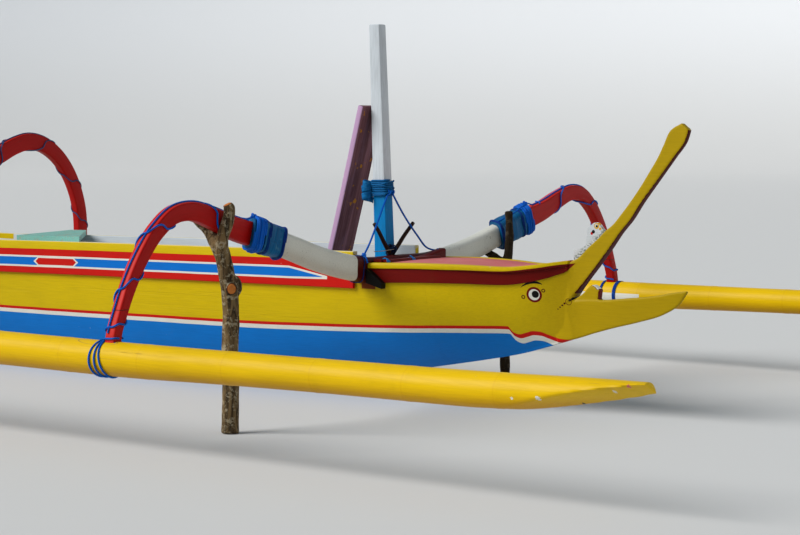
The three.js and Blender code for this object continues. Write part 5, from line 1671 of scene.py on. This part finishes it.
def makeProp(name, spec, sheet, node):
    shell = Shell()
    for limb in (spec["stem"], *spec["prongs"]):
        line = np.array(limb)
        path = smoothPath(line[:, :3], 40)
        reach = runOf(line[:, :3])
        radius = np.interp(np.linspace(0, reach[-1], 40), reach, line[:, 3])
        reference = (1, 0, 0) if abs(line[-1][2] - line[0][2]) > 0.2 else (0, 0, 1)
        shell.add(*rope(path + (foreBeam, 0, 0), radius, 16, reference))
    for x, y, z, size in spec["knots"]:
        angle = np.linspace(-math.pi / 2, math.pi / 2, 9)[1:-1]
        around = np.linspace(0, 2 * math.pi, 12, endpoint=False)
        ball = np.stack([np.cos(angle)[:, None] * np.cos(around), np.cos(angle)[:, None] * np.sin(around),
                         1.6 * np.sin(angle)[:, None] * np.ones(12)], axis=-1)
        shell.add(ball * size + (foreBeam + x, y, z))
    mesh = fused(name, shell, barkLook["voxel"], 2)
    points, normals = meshPoints(mesh), meshPoints(mesh, "normal")
    (plate, plateSeed, plateShare), (swell, swellSeed, swellShare) = barkLook["plates"], barkLook["swells"]
    plates = lumps(points * (1, 1, 0.35), plate, plateSeed) * plateShare
    bark = plates + lumps(points, swell, swellSeed) * swellShare
    # sawn ends: one less the distance from the middle of the end as a share of its radius
    cut = np.full(len(points), -1.0)
    for prong in spec["prongs"][:spec["sawn"]]:
        end = np.array(prong[-1][:3]) + (foreBeam, 0, 0)
        heading = unit(np.array(prong[-1][:3]) - np.array(prong[-2][:3]))
        away = points - end
        away = away - (away @ heading)[:, None] * heading
        inward = 1 - np.linalg.norm(away * (1, 1, 0.8), axis=1) / (prong[-1][3] * 0.95)
        near = ((points - end) @ heading > -barkLook["cutReach"]) & (normals @ heading > 0.35)
        cut = np.where(near, np.maximum(cut, inward), cut)
    grounded = np.clip(points[:, 2] / 0.02, 0, 1)
    points = points + normals * (barkLook["rough"] * bark * (cut < -0.1) * grounded)[:, None]
    points[:, 2] = np.maximum(points[:, 2], 0)
    mesh.vertices.foreach_set("co", points.astype(np.float32).ravel())
    mesh.update()
    setValues(mesh, "cut", cut)
    finishPiece(name, mesh, sheet, [node], sharp=80)


makeProp("prop_near", nearProp, barkSheet("bark_grey", "bark", 0.55), "fork_prop_stbd")
makeProp("prop_far", farProp, barkSheet("bark_brown", "bareBark", 0.1), "fork_prop_port")
print("props done")


# Studio
studio = {"floor": (0.66, 0.65, 0.63, 1), "wall": (0.86, 0.86, 0.86, 1), "sky": (0.75, 0.88, 1.0),
          "skyStrength": 0.3, "flat": 44, "bend": 18, "middle": (-1.0, 0.0), "around": 96, "drop": 0.3 * mm,
          "sun": (-0.5, -0.62, 0.62), "sunPlace": (-5, -6, 6), "sunStrength": 3.1, "sunAngle": 35}


def makeStudio():
    # floor: a flat disc whose rim curves up, its height radius . (1 - cos a) beyond the flat part
    bend = np.concatenate([np.zeros(12), np.linspace(0, math.pi / 2, 25)[1:]])
    reach = studio["flat"] + studio["bend"] * np.sin(bend)
    reach[:12] = np.linspace(0.5, studio["flat"], 12)
    height = studio["bend"] * (1 - np.cos(bend))
    angle = np.linspace(0, 2 * math.pi, studio["around"], endpoint=False)
    x = studio["middle"][0] + reach[:, None] * np.cos(angle)
    y = studio["middle"][1] + reach[:, None] * np.sin(angle)
    points = np.stack([x, y, np.broadcast_to(height[:, None], x.shape)], axis=-1).reshape(-1, 3)
    number = np.arange(x.size).reshape(x.shape)
    after = np.roll(number, -1, axis=1)
    faces = np.stack([number[:-1], number[1:], after[1:], after[:-1]], axis=-1).reshape(-1, 4)
    mesh = bpy.data.meshes.new("floor")
    mesh.from_pydata(points.tolist(), [], faces.tolist() + [number[0].tolist()])
    mesh.shade_smooth()
    sheet = Sheet("floor_paint")
    high = sheet.step(sheet.split(sheet.place())[2], 0, 6)
    sheet.finish(sheet.mix(high, studio["floor"], studio["wall"]), 0.9)
    mesh.materials.append(sheet.material)
    floor = bpy.data.objects.new("floor", mesh)
    floor.location.z = -studio["drop"]
    bpy.context.collection.objects.link(floor)
    world = bpy.data.worlds.new("studio")
    world.use_nodes = True
    background = world.node_tree.nodes["Background"]
    background.inputs["Color"].default_value = (*studio["sky"], 1)
    background.inputs["Strength"].default_value = studio["skyStrength"]
    bpy.context.scene.world = world
    bpy.context.scene.view_settings.view_transform = "Standard"
    data = bpy.data.lights.new("sun", "SUN")
    data.energy = studio["sunStrength"]
    data.angle = math.radians(studio["sunAngle"])
    light = bpy.data.objects.new("sun", data)
    light.location = studio["sunPlace"]
    light.rotation_euler = (-Vector(studio["sun"])).to_track_quat("-Z", "Y").to_euler()
    bpy.context.collection.objects.link(light)


makeStudio()
print("studio done")
